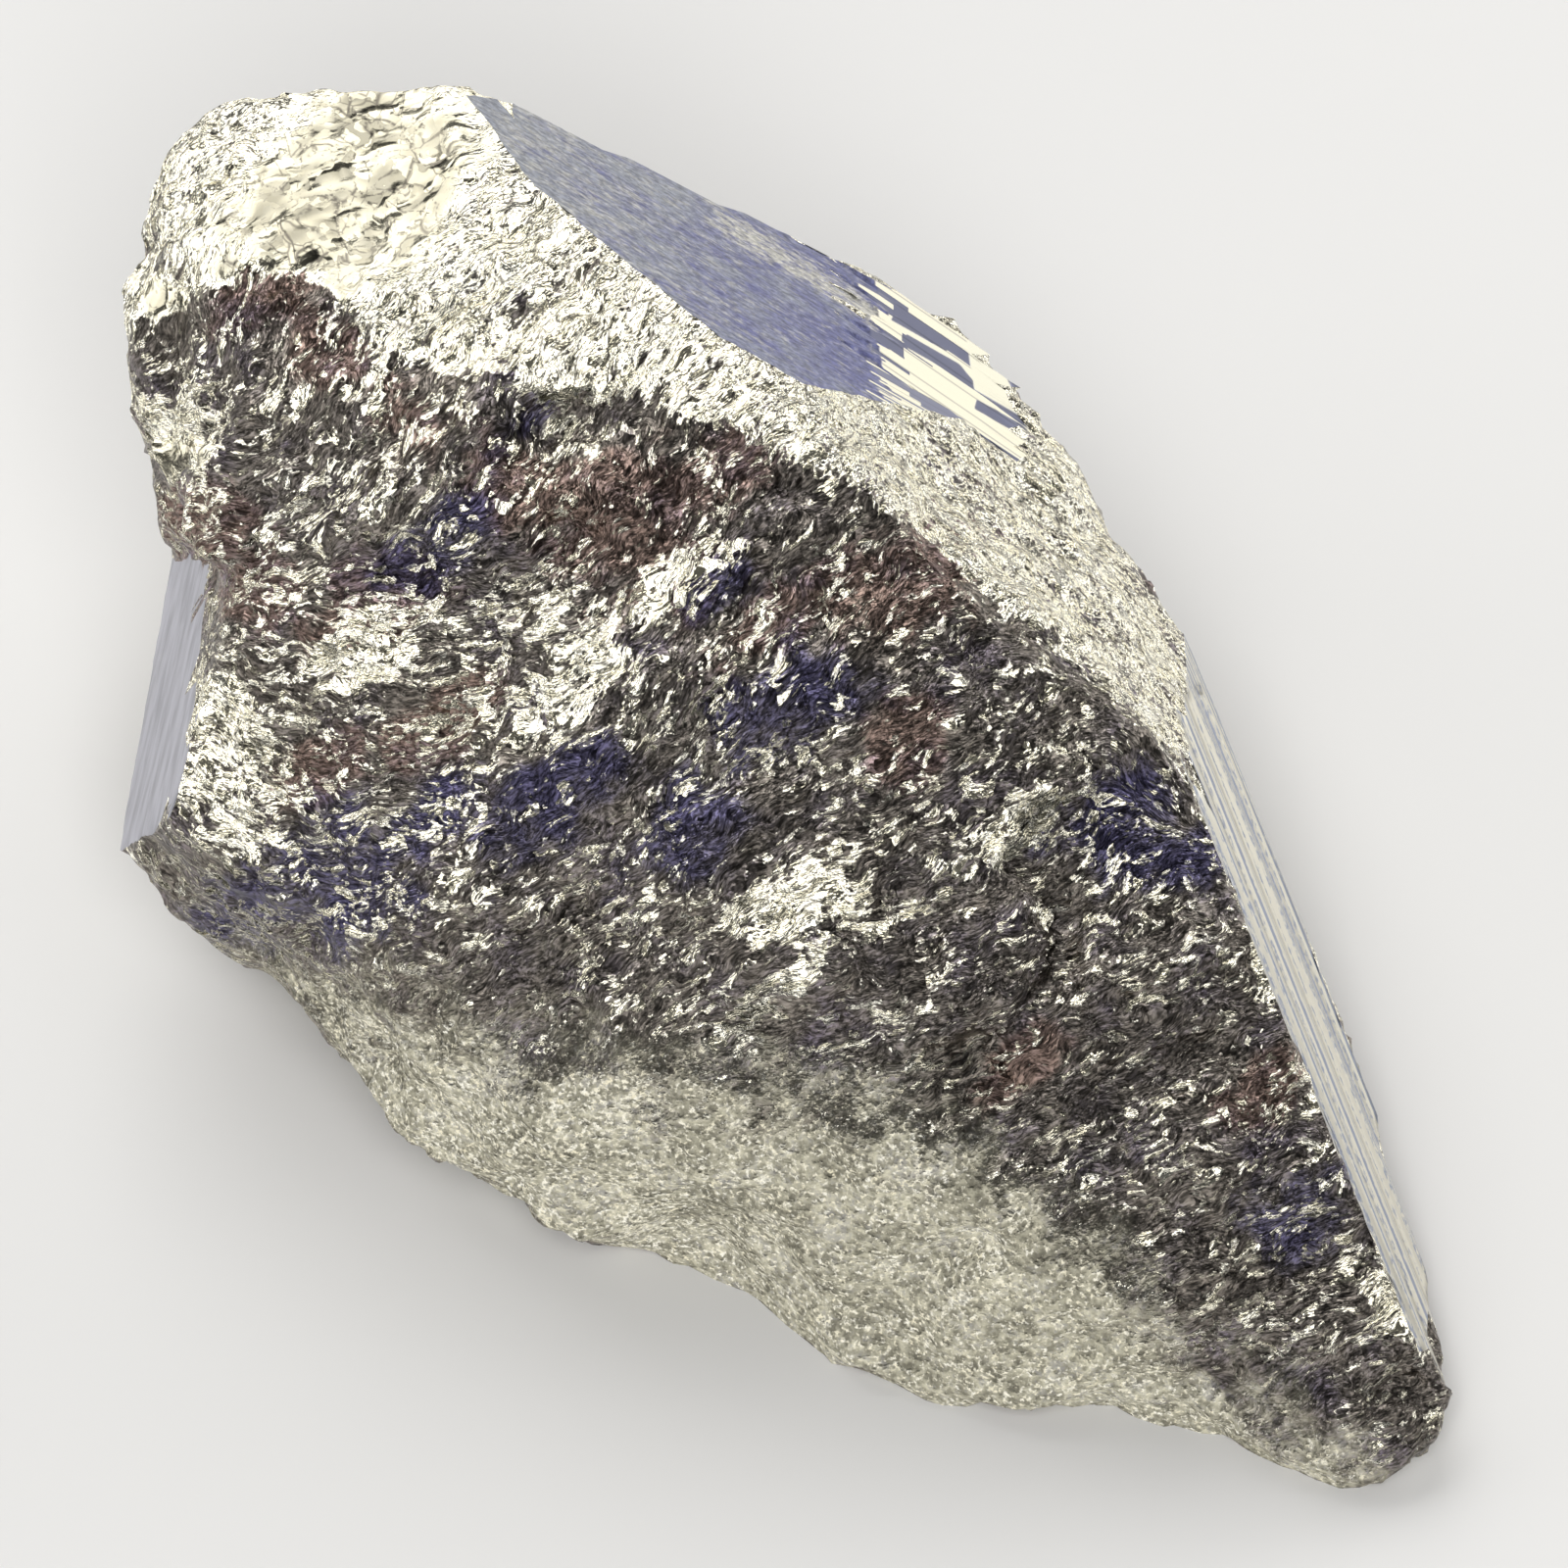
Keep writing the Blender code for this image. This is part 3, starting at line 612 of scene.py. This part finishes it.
class Shades:
    """Adds nodes to one material."""

    def __init__(self, name):
        self.material = bpy.data.materials.new(name)
        self.material.use_nodes = True
        self.tree = self.material.node_tree
        self.shader = self.tree.nodes["Principled BSDF"]

    def plug(self, socket, value):
        """Links a wire to a socket, or sets the socket to a number or to several."""
        if isinstance(value, Wire):
            self.tree.links.new(value.socket, socket)
        elif isinstance(value, (int, float)) and socket.type in ("VECTOR", "RGBA"):
            socket.default_value = [value] * len(socket.default_value)
        elif socket.type == "RGBA":
            socket.default_value = (*value, 1.0)
        else:
            socket.default_value = value

    def add(self, kind, settings, inputs, output=0):
        """Adds a node of a kind, with its settings set first, then its sockets."""
        node = self.tree.nodes.new(kind)
        for name, value in settings.items():
            setattr(node, name, value)
        for name, value in inputs.items():
            self.plug(node.inputs[name], value)
        return Wire(self, node.outputs[output])

    def mix(self, share, first, second):
        """A colour or vector part way from the first to the second."""
        inputs = {0: share, 6: first, 7: second}
        return self.add("ShaderNodeMix", {"data_type": "RGBA", "clamp_factor": True}, inputs, 2)

    def noise(self, place, size, detail=2.0, output="Fac", roughness=0.5):
        """Noise from 0 to 1 with features of about this size."""
        inputs = {"Vector": place, "Scale": 1.0 / size, "Detail": detail, "Roughness": roughness}
        return self.add("ShaderNodeTexNoise", {}, inputs, output)

    def cells(self, place, size, space="3D"):
        """A random colour for each cell of about this size, solid or seen from above."""
        settings = {"voronoi_dimensions": space}
        return self.add("ShaderNodeTexVoronoi", settings, {"Vector": place, "Scale": 1.0 / size}, "Color")

    def creases(self, place, size, width):
        """1 on the lines between flat cells of about this size, 0 away from them."""
        inputs = {"Vector": place, "Scale": 1.0 / size}
        settings = {"voronoi_dimensions": "2D", "feature": "DISTANCE_TO_EDGE"}
        return 1.0 - self.add("ShaderNodeTexVoronoi", settings, inputs, "Distance").between(0.0, width / size)

    def lines(self, across, width):
        """A random colour for each line of about this width."""
        inputs = {"W": across, "Scale": 1.0 / width}
        return self.add("ShaderNodeTexVoronoi", {"voronoi_dimensions": "1D"}, inputs, "Color")

    def gaps(self, across, size, width):
        """1 in the gaps between lines of about this size, 0 on the lines."""
        inputs = {"W": across, "Scale": 1.0 / size}
        settings = {"voronoi_dimensions": "1D", "feature": "DISTANCE_TO_EDGE"}
        return 1.0 - self.add("ShaderNodeTexVoronoi", settings, inputs, "Distance").between(0.0, width / size)

    def share(self, name):
        """A share that the mesh holds."""
        return self.add("ShaderNodeAttribute", {"attribute_name": name}, {}, "Fac")

    def join(self, x, y, z):
        """A vector of three parts."""
        return self.add("ShaderNodeCombineXYZ", {}, {0: x, 1: y, 2: z})


# ---------------------------------------------------------------- materials

# Sizes of what the break shows.
FLECK = 0.44  # flecks of fresh metal
SPECK = 0.21  # the finer ones of the toe and the strip
CLUSTER = 2.2  # the clusters that flecks stand in
TOE_CLUSTER = 2.0  # and on the toe
TOE_BLOTCH = 1.8  # blotches where the toe begins
FACET = 0.25  # facets that lean at random
GRIT = 0.15  # and finer ones
SHEET = 2.2  # curved sheets of the foil
FOLD = 1.0  # the folds in them
BULGE = 0.9  # and their bulges
CREASE = 0.6  # how far apart the fine creases are
STREAK = 0.15  # streaks that darken and brighten the painted dark ground, and raise the relief
CLOUD = 2.6  # clouds of brown and indigo in the painted dark ground, and of brightness on the toe
MOTE = 0.34  # grey motes of the toe
GRAIN = 0.46  # and its grains

# Along the grain, and out of the face, forms are drawn out by squeezing the coordinates to these shares.
GRAIN_SQUEEZE = 0.32
DEPTH_SQUEEZE = 0.8
GRAIN_BLOTCH = 1.2  # the grain strays in blotches of about this size
GRAIN_BEND = 1.3  # forms bend at about this size
GRAIN_BENT = 0.85  # and by up to half as much as this
SHEET_BEND = 2.0  # the foil's sheets bend at about this size
SHEET_BENT = 3.0  # and by up to half as much as this
FRESH_LEVEL = 0.555  # flecks are fresh metal above this level
TOE_FADE = (0.10, 0.95)  # between these shares of toe the break turns into it

# A whiter cream that some facets of the fresh flecks get, a painted highlight.
PALE_METAL = (0.95, 0.92, 0.80)
# Painted shade in the creases.
CREASE_SHADE = (0.08, 0.07, 0.06)
OLIVE_SHADOW = 0.36  # how bright the toe's olive is in the painted shade between its grains
TOE_GREY = (0.22, 0.22, 0.26)

# The violet face: its painted reflection colours, its stripes, and its edge against the sky as a slope and a
# rise.
SLATE = (0.35, 0.37, 0.43)
DEEP_VIOLET = (0.12, 0.13, 0.34)
SHEEN_CREAM = (0.72, 0.70, 0.62)
STRIPE_REFLECTION = (0.30, 0.31, 0.42)
STRIPE_HIGHLIGHT = (0.56, 0.53, 0.42)
STRIPE_GAP_SHADE = (0.12, 0.12, 0.14)
FLAT_HIGHLIGHT = (0.54, 0.52, 0.42)
SKYLINE_SLOPE = 0.62
SKYLINE_RISE = 21.75
FINE_STRIPE = 0.17
BROAD_STRIPE = 0.42
STRIPE_GAP = 0.46  # how far apart the dark gaps between stripes are
FINE_START = 3.0  # the stripes start this far to the right
BROAD_START = 4.5  # and broad ones join them here
LIGHT_STRIPE = 0.38  # stripes are light above this level

# The flank's lines, painted highlights and reflections, and the darker streaks in the grey faces' painted
# reflection as a share of its brightness.
BROAD_LINE = 0.62
FINE_LINE = 0.19
LINE_HIGHLIGHT = (0.78, 0.75, 0.65)
REFLECTION_STREAK = 0.72


def darker(colour, share):
    """A colour at a share of its brightness."""
    return [share * part for part in colour]


def grained(shades, place):
    """Coordinates that run along the grain of the break, squeezed along it."""
    stray = (shades.noise(place, GRAIN_BLOTCH, 2.0) - 0.5) * GRAIN_STRAY
    turn = (shades.share("grain") + stray).snapped(GRAIN_STEP) * math.radians(1)
    right, up = turn.cosine(), turn.sine()
    along = shades.join(right, up * UP.y, up * UP.z)
    across = shades.join(up * -1.0, right * UP.y, right * UP.z)
    spot = place + (shades.noise(place, GRAIN_BEND, 0.0, "Color") - 0.5) * GRAIN_BENT
    depth = spot.dot(tuple(OUT)) * DEPTH_SQUEEZE
    return shades.join(spot.dot(along) * GRAIN_SQUEEZE, spot.dot(across), depth)


def pyrite_material(lump):
    shades = Shades("pyrite_lump")
    place = shades.add("ShaderNodeTexCoord", {}, {}, "Object") * (1 / MM)
    out = shades.add("ShaderNodeNewGeometry", {}, {}, "Normal")
    violet, flank, wedge, back = (shades.share(name) for name in GROWTH)
    look = broken_ground(shades, lump, place, out)
    look = violet_face(shades, lump, place, out, violet, look)
    look = flank_face(shades, lump, place, flank, look)
    colour, lean, rough, height = grey_faces(shades, lump, place, (wedge + back).clamped(), look)
    inputs = {"Height": height, "Normal": (out + lean).unit(), "Strength": 1.0, "Distance": MM}
    bumped = shades.add("ShaderNodeBump", {}, inputs)
    for name, value in (("Base Color", colour), ("Roughness", rough), ("Normal", bumped), ("Metallic", 1.0)):
        shades.plug(shades.shader.inputs[name], value)
    return shades.material


def painted_dark_ground(shades, lump, brown, indigo, dark, cloud, streak):
    """Painted dark in place of the reflected dim room, darker in the dark patches, with brown and indigo,
    streaked.
    """
    colour = shades.mix((brown + cloud * 1.6 + streak * 0.6).between(1.1, 2.1), lump.painted_dark, lump.brown)
    colour = shades.mix((indigo + cloud * 2.8 + streak * 1.0).between(1.7, 3.3) * 0.9, colour, lump.indigo)
    return colour * (0.50 + streak.between(0.35, 0.75) * 2.0 - dark * 0.20)


def toe_olive(shades, lump, place, grain, cloud):
    """Olive grains with painted shade between them, and grey motes."""
    mote = shades.noise(place, MOTE, 2.0, roughness=0.7)
    shadow = darker(lump.olive, OLIVE_SHADOW)
    colour = shades.mix((grain * 0.7 + mote * 0.5).between(0.44, 0.78), shadow, lump.olive)
    colour = shades.mix((mote + cloud * 0.7).between(0.84, 1.1) * 0.5, colour, TOE_GREY)
    return colour * (0.62 + cloud.between(0.35, 0.65) * 0.5)


def fresh_metal(shades, lump, pale, foil, sheet, bulge):
    """Fresh metal, whiter on some facets as a painted highlight. In the foil it is painted darker, with
    painted shade from sheet to sheet and over their bulges.
    """
    colour = shades.mix(pale * (1.0 - foil * 0.8), lump.metal, PALE_METAL)
    return colour * (1.0 - foil * (0.83 - sheet * 0.25 - bulge.between(0.35, 0.62) * 0.32))


def broken_ground(shades, lump, place, out):
    """The look of the break: its colour, lean, roughness and the height of its finest relief."""
    bright, toe, brown, indigo, dark, strip, foil = (
        shades.share(name) for name in ("bright", "toe", "brown", "indigo", "dark", "strip", "foil"))
    spot = grained(shades, place)
    smooth_toe = toe.between(*TOE_FADE)
    blotch = shades.noise(place, TOE_BLOTCH, 3.0, roughness=0.65) - 0.5
    toe = (toe + blotch * 1.3).between(*TOE_FADE)

    # Flecks of fresh metal, in clusters. On the toe and the bright strip they are finer. They lean to catch
    # the lamp, and their pale colour on the painted dark ground is a painted highlight too.
    fleck = shades.noise(spot, FLECK, 3.0, roughness=0.66)
    speck = shades.noise(place, SPECK, 2.0, roughness=0.62)
    fleck = fleck + (speck - fleck) * smooth_toe.most(strip * 0.5)
    cluster = shades.noise(spot, CLUSTER, 2.0)
    cluster = cluster + (shades.noise(place, TOE_CLUSTER, 2.0) - cluster) * toe
    level = fleck + (cluster - 0.5) * (0.45 - toe * 0.2) + (speck - 0.5) * 0.22
    level = level + bright * 0.19 + foil * 0.40 - dark * 0.07 - toe * 0.02
    blur = toe * 0.05 + 0.042
    fresh = ((level - FRESH_LEVEL + blur) / (blur * 2.0)).clamped()

    # Facets that lean at random, curved sheets, and thin creases between them, painted dark as painted shade.
    facet = shades.cells(spot, FACET)
    _, facet_green, facet_blue = facet.parts()
    grit = shades.cells(place, GRIT)
    bent = place + (shades.noise(place, SHEET_BEND, 1.0, "Color") - 0.5) * SHEET_BENT
    sheet = shades.cells(bent, SHEET, "2D")
    _, sheet_green, _ = sheet.parts()
    bulge = shades.noise(spot, BULGE, 1.0)
    large = shades.creases(bent, SHEET, 0.16).most(shades.creases(bent, FOLD, 0.09) * 0.8) * foil
    small = shades.creases(spot, CREASE, 0.07) * (bright * 0.8 + 0.1) * (1.0 - foil.most(toe))
    creases = large.most(small) * (cluster + (speck - 0.5) * 0.7 + foil * 0.06).between(0.45, 0.58)

    streak = shades.noise(spot, STREAK, 2.0, roughness=0.65)
    cloud = shades.noise(place, CLOUD, 4.0, roughness=0.6)
    grain = shades.noise(place, GRAIN, 2.0)
    # Painted dark ground in place of the reflected dim room, with brown and indigo patches.
    under = painted_dark_ground(shades, lump, brown, indigo, dark, cloud, streak)
    under = shades.mix(toe * 0.92, under, toe_olive(shades, lump, place, grain, cloud))
    # Fresh flecks are painted pale over the painted dark ground, a painted highlight.
    colour = shades.mix(fresh, under, fresh_metal(shades, lump, facet_green, foil, sheet_green, bulge))
    # Painted shade in the creases.
    colour = shades.mix(creases * 0.85, colour, CREASE_SHADE)

    # Fresh flecks and grains share one way to face, and every facet leans a little its own way.
    way = shades.join(*(TOE_WAY - FRESH_WAY)) * toe + FRESH_WAY
    cleaved = (way - out) * (fresh.most(toe) * (0.88 + toe * 0.08 - strip * 0.54 - foil * 0.08))
    lean = (facet - 0.5) * (0.55 - toe * 0.54 - foil * 0.49) + cleaved
    lean = lean + (grit - 0.5) * (0.20 - toe * 0.10 - foil * 0.19 + strip * 0.10)
    lean = lean + (sheet - 0.5) * (foil * 0.20)
    rough = 0.30 - fresh * 0.12 + facet_blue * (0.08 - toe * 0.08) + toe * 0.06
    height = fleck * (0.15 - foil * 0.14 - smooth_toe * 0.11) + grain * (smooth_toe * 0.13)
    height = height + streak * (0.05 - foil * 0.045 - smooth_toe * 0.05) + bulge * (foil * 0.30)
    return colour, lean, rough, height


def in_outline(right, above, corners, blur):
    """1 inside an outline of (across, up) places that runs clockwise, 0 outside."""
    within = None
    for start, end in zip(corners, corners[1:] + corners[:1]):
        side = Vector((end[1] - start[1], start[0] - end[0])).normalized()
        depth = (right - start[0]) * side.x + (above - start[1]) * side.y
        here = depth.between(-blur, blur)
        within = here if within is None else within * here
    return within


def run_and_side(place, name):
    """How far a place is along the steps of a growth face, and how far across them."""
    along, across = steps_of(name)
    return place.dot(tuple(along)), place.dot(tuple(across))


def laid_over(shades, share, look, colour, lean, rough):
    """A look, with a growth face's in its place where the face is. The face has no height of its own."""
    under_colour, under_lean, under_rough, height = look
    return (
        shades.mix(share, under_colour, colour),
        shades.mix(share, under_lean, lean),
        under_rough + share * (rough - under_rough),
        height * (1.0 - share),
    )


def violet_mottle(shades, lump, run, side, right, above, mottle):
    """Painted reflection: grey and violet, bluer to the skyline and far end, painted sheen and glints, fine
    streaks.
    """
    streaks = shades.noise(shades.join(run * 0.35, side, 0.0), 0.6, 5.0, roughness=0.72)
    bluer = (right * 0.032 + mottle * 1.7 + streaks * 0.8).between(0.85, 1.45)
    colour = shades.mix(bluer, SLATE, lump.violet)
    colour = shades.mix((mottle + streaks * 0.7).between(0.92, 1.08) * 0.55, colour, DEEP_VIOLET)
    sheen_noise = shades.noise(shades.join(run * 0.45, side, 5.0), 0.45, 4.0, roughness=0.8)
    skyline = above + right * SKYLINE_SLOPE - SKYLINE_RISE
    glints = skyline.between(-0.9, -0.2) * (1.0 - skyline.between(0.2, 0.9)) * right.between(-4.0, -2.0)
    pale = (sheen_noise + mottle * 0.6 + glints * 0.14 - bluer * 0.10).between(0.72, 0.94)
    # Painted cream sheen and glints.
    colour = shades.mix(pale * (0.60 + glints * 0.30), colour, SHEEN_CREAM)
    fine_streaks = shades.noise(shades.join(run * 0.5, side, 2.0), 0.22, 4.0, roughness=0.75)
    return colour * (0.55 + fine_streaks.between(0.30, 0.70) * 0.9)


def violet_stripes(shades, side, right, above, mottle):
    """The stripes' colour, where there are any, and which are light. They start raggedly, fine at first.
    Light stripes lean and are painted cream highlights, the rest painted blue-grey reflection, the gaps
    painted shade.
    """
    fine_red, fine_green, _ = shades.lines(side + mottle * 0.03, FINE_STRIPE).parts()
    broad_red, broad_green, _ = shades.lines(side + mottle * 0.04, BROAD_STRIPE).parts()
    striped = (right - broad_green * 1.2 - fine_green * 0.8).between(FINE_START, FINE_START + 0.15)
    broad = (right - broad_green * 2.0).between(BROAD_START, BROAD_START + 0.1)
    light = (fine_red + (broad_red + 0.18 - fine_red) * broad).above(LIGHT_STRIPE)
    for corners in WIDE_STRIPES:
        light = light * (1.0 - in_outline(right, above, corners, 0.05))
    # Cream highlights and blue-grey reflections painted on the stripes, and painted shade in the gaps.
    colour = shades.mix(light, STRIPE_REFLECTION, STRIPE_HIGHLIGHT)
    colour = shades.mix(shades.gaps(side, STRIPE_GAP, 0.05) * 0.5, colour, STRIPE_GAP_SHADE)
    return colour, striped, light


def violet_face(shades, lump, place, out, violet, look):
    """Adds the smooth violet face, its striated end and the bright flat at its corner. Their colours are
    painted reflections and highlights.
    """
    run, side = run_and_side(place, "violet")
    local = place - tuple(FACE_ORIGIN)
    right, above = local.dot(tuple(ACROSS)), local.dot(tuple(UP))
    mottle = shades.noise(shades.join(run * 0.5, side * 0.8, 0.0), 2.8, 5.0, roughness=0.72)
    colour = violet_mottle(shades, lump, run, side, right, above, mottle)
    stripes, striped, light = violet_stripes(shades, side, right, above, mottle)
    colour = shades.mix(striped, colour, stripes)
    flat = in_outline(right, above, VIOLET_FLAT, 0.06)
    # The bright flat is painted cream as a highlight.
    colour = shades.mix(flat, colour, FLAT_HIGHLIGHT)
    light = (striped * light).most(flat)

    # Its normals are drawn towards its plane's, the light stripes lean, and all of it is a little uneven.
    plane = shades.join(*from_face(GROWTH["violet"][0].normalized()))
    _, across = steps_of("violet")
    lean = (plane - out) * 0.85 + shades.join(*across) * (light * -0.34)
    lean = lean + (shades.noise(place, 0.22, 1.0, "Color") - 0.5) * 0.08
    return laid_over(shades, violet, look, colour, lean, 0.38 - light * 0.12)


def flank_face(shades, lump, place, flank, look):
    """Adds the flank, with fine lines along it painted as cream highlights and blue-grey reflections."""
    run, side = run_and_side(place, "flank")
    waver = shades.noise(shades.join(run * 0.10, side * 0.5, 0.0), 1.0, 3.0)
    broad_red, broad_green, _ = shades.lines(side + waver * 0.18, BROAD_LINE).parts()
    fine_red, fine_green, _ = shades.lines(side + waver * 0.14, FINE_LINE).parts()
    fine_streaks = shades.noise(shades.join(run * 0.4, side, 0.0), 0.18, 3.0, roughness=0.65)
    light = (broad_red * 0.35 + fine_red * 0.65 + (fine_streaks - 0.5) * 1.1).between(0.22, 0.48)
    # Painted cream highlights and blue-grey reflections in lines.
    colour = shades.mix(light, lump.line_reflection, LINE_HIGHLIGHT)
    _, across = steps_of("flank")
    lean = shades.join(*across) * ((broad_green - 0.5) * 0.20 + (fine_green - 0.5) * 0.20)
    return laid_over(shades, flank, look, colour, lean, 0.36)


def grey_faces(shades, lump, place, grey, look):
    """Adds the matte grey faces at the left and the back, painted as a streaked grey reflection."""
    run, side = run_and_side(place, "wedge")
    streaks = shades.noise(shades.join(run * 0.2, side, 0.0), 0.7, 4.0, roughness=0.6)
    # The grey is a painted reflection, streaked darker.
    colour = shades.mix(streaks.between(0.35, 0.7), lump.grey_reflection, darker(lump.grey_reflection, REFLECTION_STREAK))
    return laid_over(shades, grey, look, colour, (0.0, 0.0, 0.0), 0.50)


def plain_material(name, colour, roughness):
    shades = Shades(name)
    shades.plug(shades.shader.inputs["Base Color"], colour)
    shades.plug(shades.shader.inputs["Roughness"], roughness)
    return shades.material


# ---------------------------------------------------------------- stage

# The lamps: the way to each from the lump, how far it stands, its width and its height, in metres.
LAMPS = {
    "key": ((-0.25, 0.58, 0.78), 0.60, 0.56, 0.48),
    "panel": ((0.75, 0.62, 0.28), 0.50, 0.34, 0.40),
    "side": ((-0.92, 0.10, 0.38), 0.50, 0.20, 0.30),
    "front": ((0.0, -0.95, 0.36), 0.70, 1.00, 0.60),
    "wash": ((0.0, -0.55, 0.85), 1.00, 0.60, 0.60),
}
ROOM_COLOUR = (0.95, 0.97, 1.0)
FLOOR_ROUGHNESS = 0.6
CLIP = (0.01, 10.0)  # how near and how far the camera sees, in metres


def aim(made, toward, distance):
    """Puts a lamp or a camera this way and this far from the lump, looking back at it."""
    made.location = FACE_ORIGIN * MM + Vector(toward).normalized() * distance
    made.rotation_euler = Vector(toward).to_track_quat("Z", "Y").to_euler()
    bpy.context.scene.collection.objects.link(made)


def add_floor(stage):
    bpy.ops.mesh.primitive_plane_add(size=stage.floor_size)
    floor = bpy.context.object
    floor.name = "floor"
    floor.data.materials.append(plain_material("floor", stage.floor, FLOOR_ROUGHNESS))


def add_lamp(name, shown, toward, distance, width, height):
    """A soft lamp. Shown is how bright a mirror shows it. The wash isn't seen in the metal."""
    lamp = bpy.data.lights.new(name, "AREA")
    lamp.shape = "RECTANGLE"
    lamp.size, lamp.size_y = width, height
    lamp.energy = shown * math.pi * width * height
    made = bpy.data.objects.new(name, lamp)
    made.visible_glossy = name != "wash"
    aim(made, toward, distance)


def add_room(scene, stage):
    scene.world = bpy.data.worlds.new("room")
    scene.world.use_nodes = True
    room = scene.world.node_tree.nodes["Background"]
    room.inputs["Strength"].default_value = stage.room
    room.inputs["Color"].default_value = (*ROOM_COLOUR, 1.0)


def add_camera(scene, stage):
    """A camera square to the broad face, as far away as its lens needs."""
    lens = bpy.data.cameras.new("camera")
    lens.lens = stage.lens
    lens.clip_start, lens.clip_end = CLIP
    scene.camera = bpy.data.objects.new("camera", lens)
    aim(scene.camera, OUT, stage.frame_width * stage.lens / lens.sensor_width)


# ---------------------------------------------------------------- operators


class MESH_OT_add_pyrite_lump(bpy.types.Operator):
    """Adds the lump with its fine relief and its painted highlights, reflections and dark ground in place of
    the plain solid
    """

    bl_idname = "mesh.add_pyrite_lump"
    bl_label = "Add Pyrite Lump"

    def execute(self, context):
        lump = context.scene.pyrite_lump
        mesh = divided_copy(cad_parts[NODE], lump.cuts)
        raise_hackle(mesh, lump)
        mesh.materials.append(pyrite_material(lump))
        mesh.polygons.foreach_set("use_smooth", [True] * len(mesh.polygons))
        mesh.update()
        made = bpy.data.objects.new("pyrite_lump", mesh)
        context.scene.collection.objects.link(made)
        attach(made, BODY)
        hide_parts(NODE)
        return {"FINISHED"}


class SCENE_OT_set_pyrite_stage(bpy.types.Operator):
    """Adds the floor, the lamps and the camera"""

    bl_idname = "scene.set_pyrite_stage"
    bl_label = "Set Pyrite Stage"

    def execute(self, context):
        scene, stage = context.scene, context.scene.pyrite_stage
        add_floor(stage)
        for name, lamp in LAMPS.items():
            add_lamp(name, getattr(stage, name), *lamp)
        add_room(scene, stage)
        add_camera(scene, stage)
        scene.view_settings.view_transform = "Standard"
        return {"FINISHED"}


class VIEW3D_PT_pyrite(bpy.types.Panel):
    bl_label = "Pyrite Lump"
    bl_space_type = "VIEW_3D"
    bl_region_type = "UI"
    bl_category = "Pyrite"

    def draw(self, context):
        for settings in (context.scene.pyrite_lump, context.scene.pyrite_stage):
            for name in settings.__annotations__:
                self.layout.prop(settings, name)
        self.layout.operator(MESH_OT_add_pyrite_lump.bl_idname)
        self.layout.operator(SCENE_OT_set_pyrite_stage.bl_idname)


CLASSES = (LumpSettings, StageSettings, MESH_OT_add_pyrite_lump, SCENE_OT_set_pyrite_stage, VIEW3D_PT_pyrite)


def register():
    for made in CLASSES:
        bpy.utils.register_class(made)
    bpy.types.Scene.pyrite_lump = bpy.props.PointerProperty(type=LumpSettings)
    bpy.types.Scene.pyrite_stage = bpy.props.PointerProperty(type=StageSettings)


def unregister():
    del bpy.types.Scene.pyrite_stage
    del bpy.types.Scene.pyrite_lump
    for made in reversed(CLASSES):
        bpy.utils.unregister_class(made)


def main():
    register()
    bpy.ops.mesh.add_pyrite_lump()
    bpy.ops.scene.set_pyrite_stage()


if __name__ == "__main__":
    main()
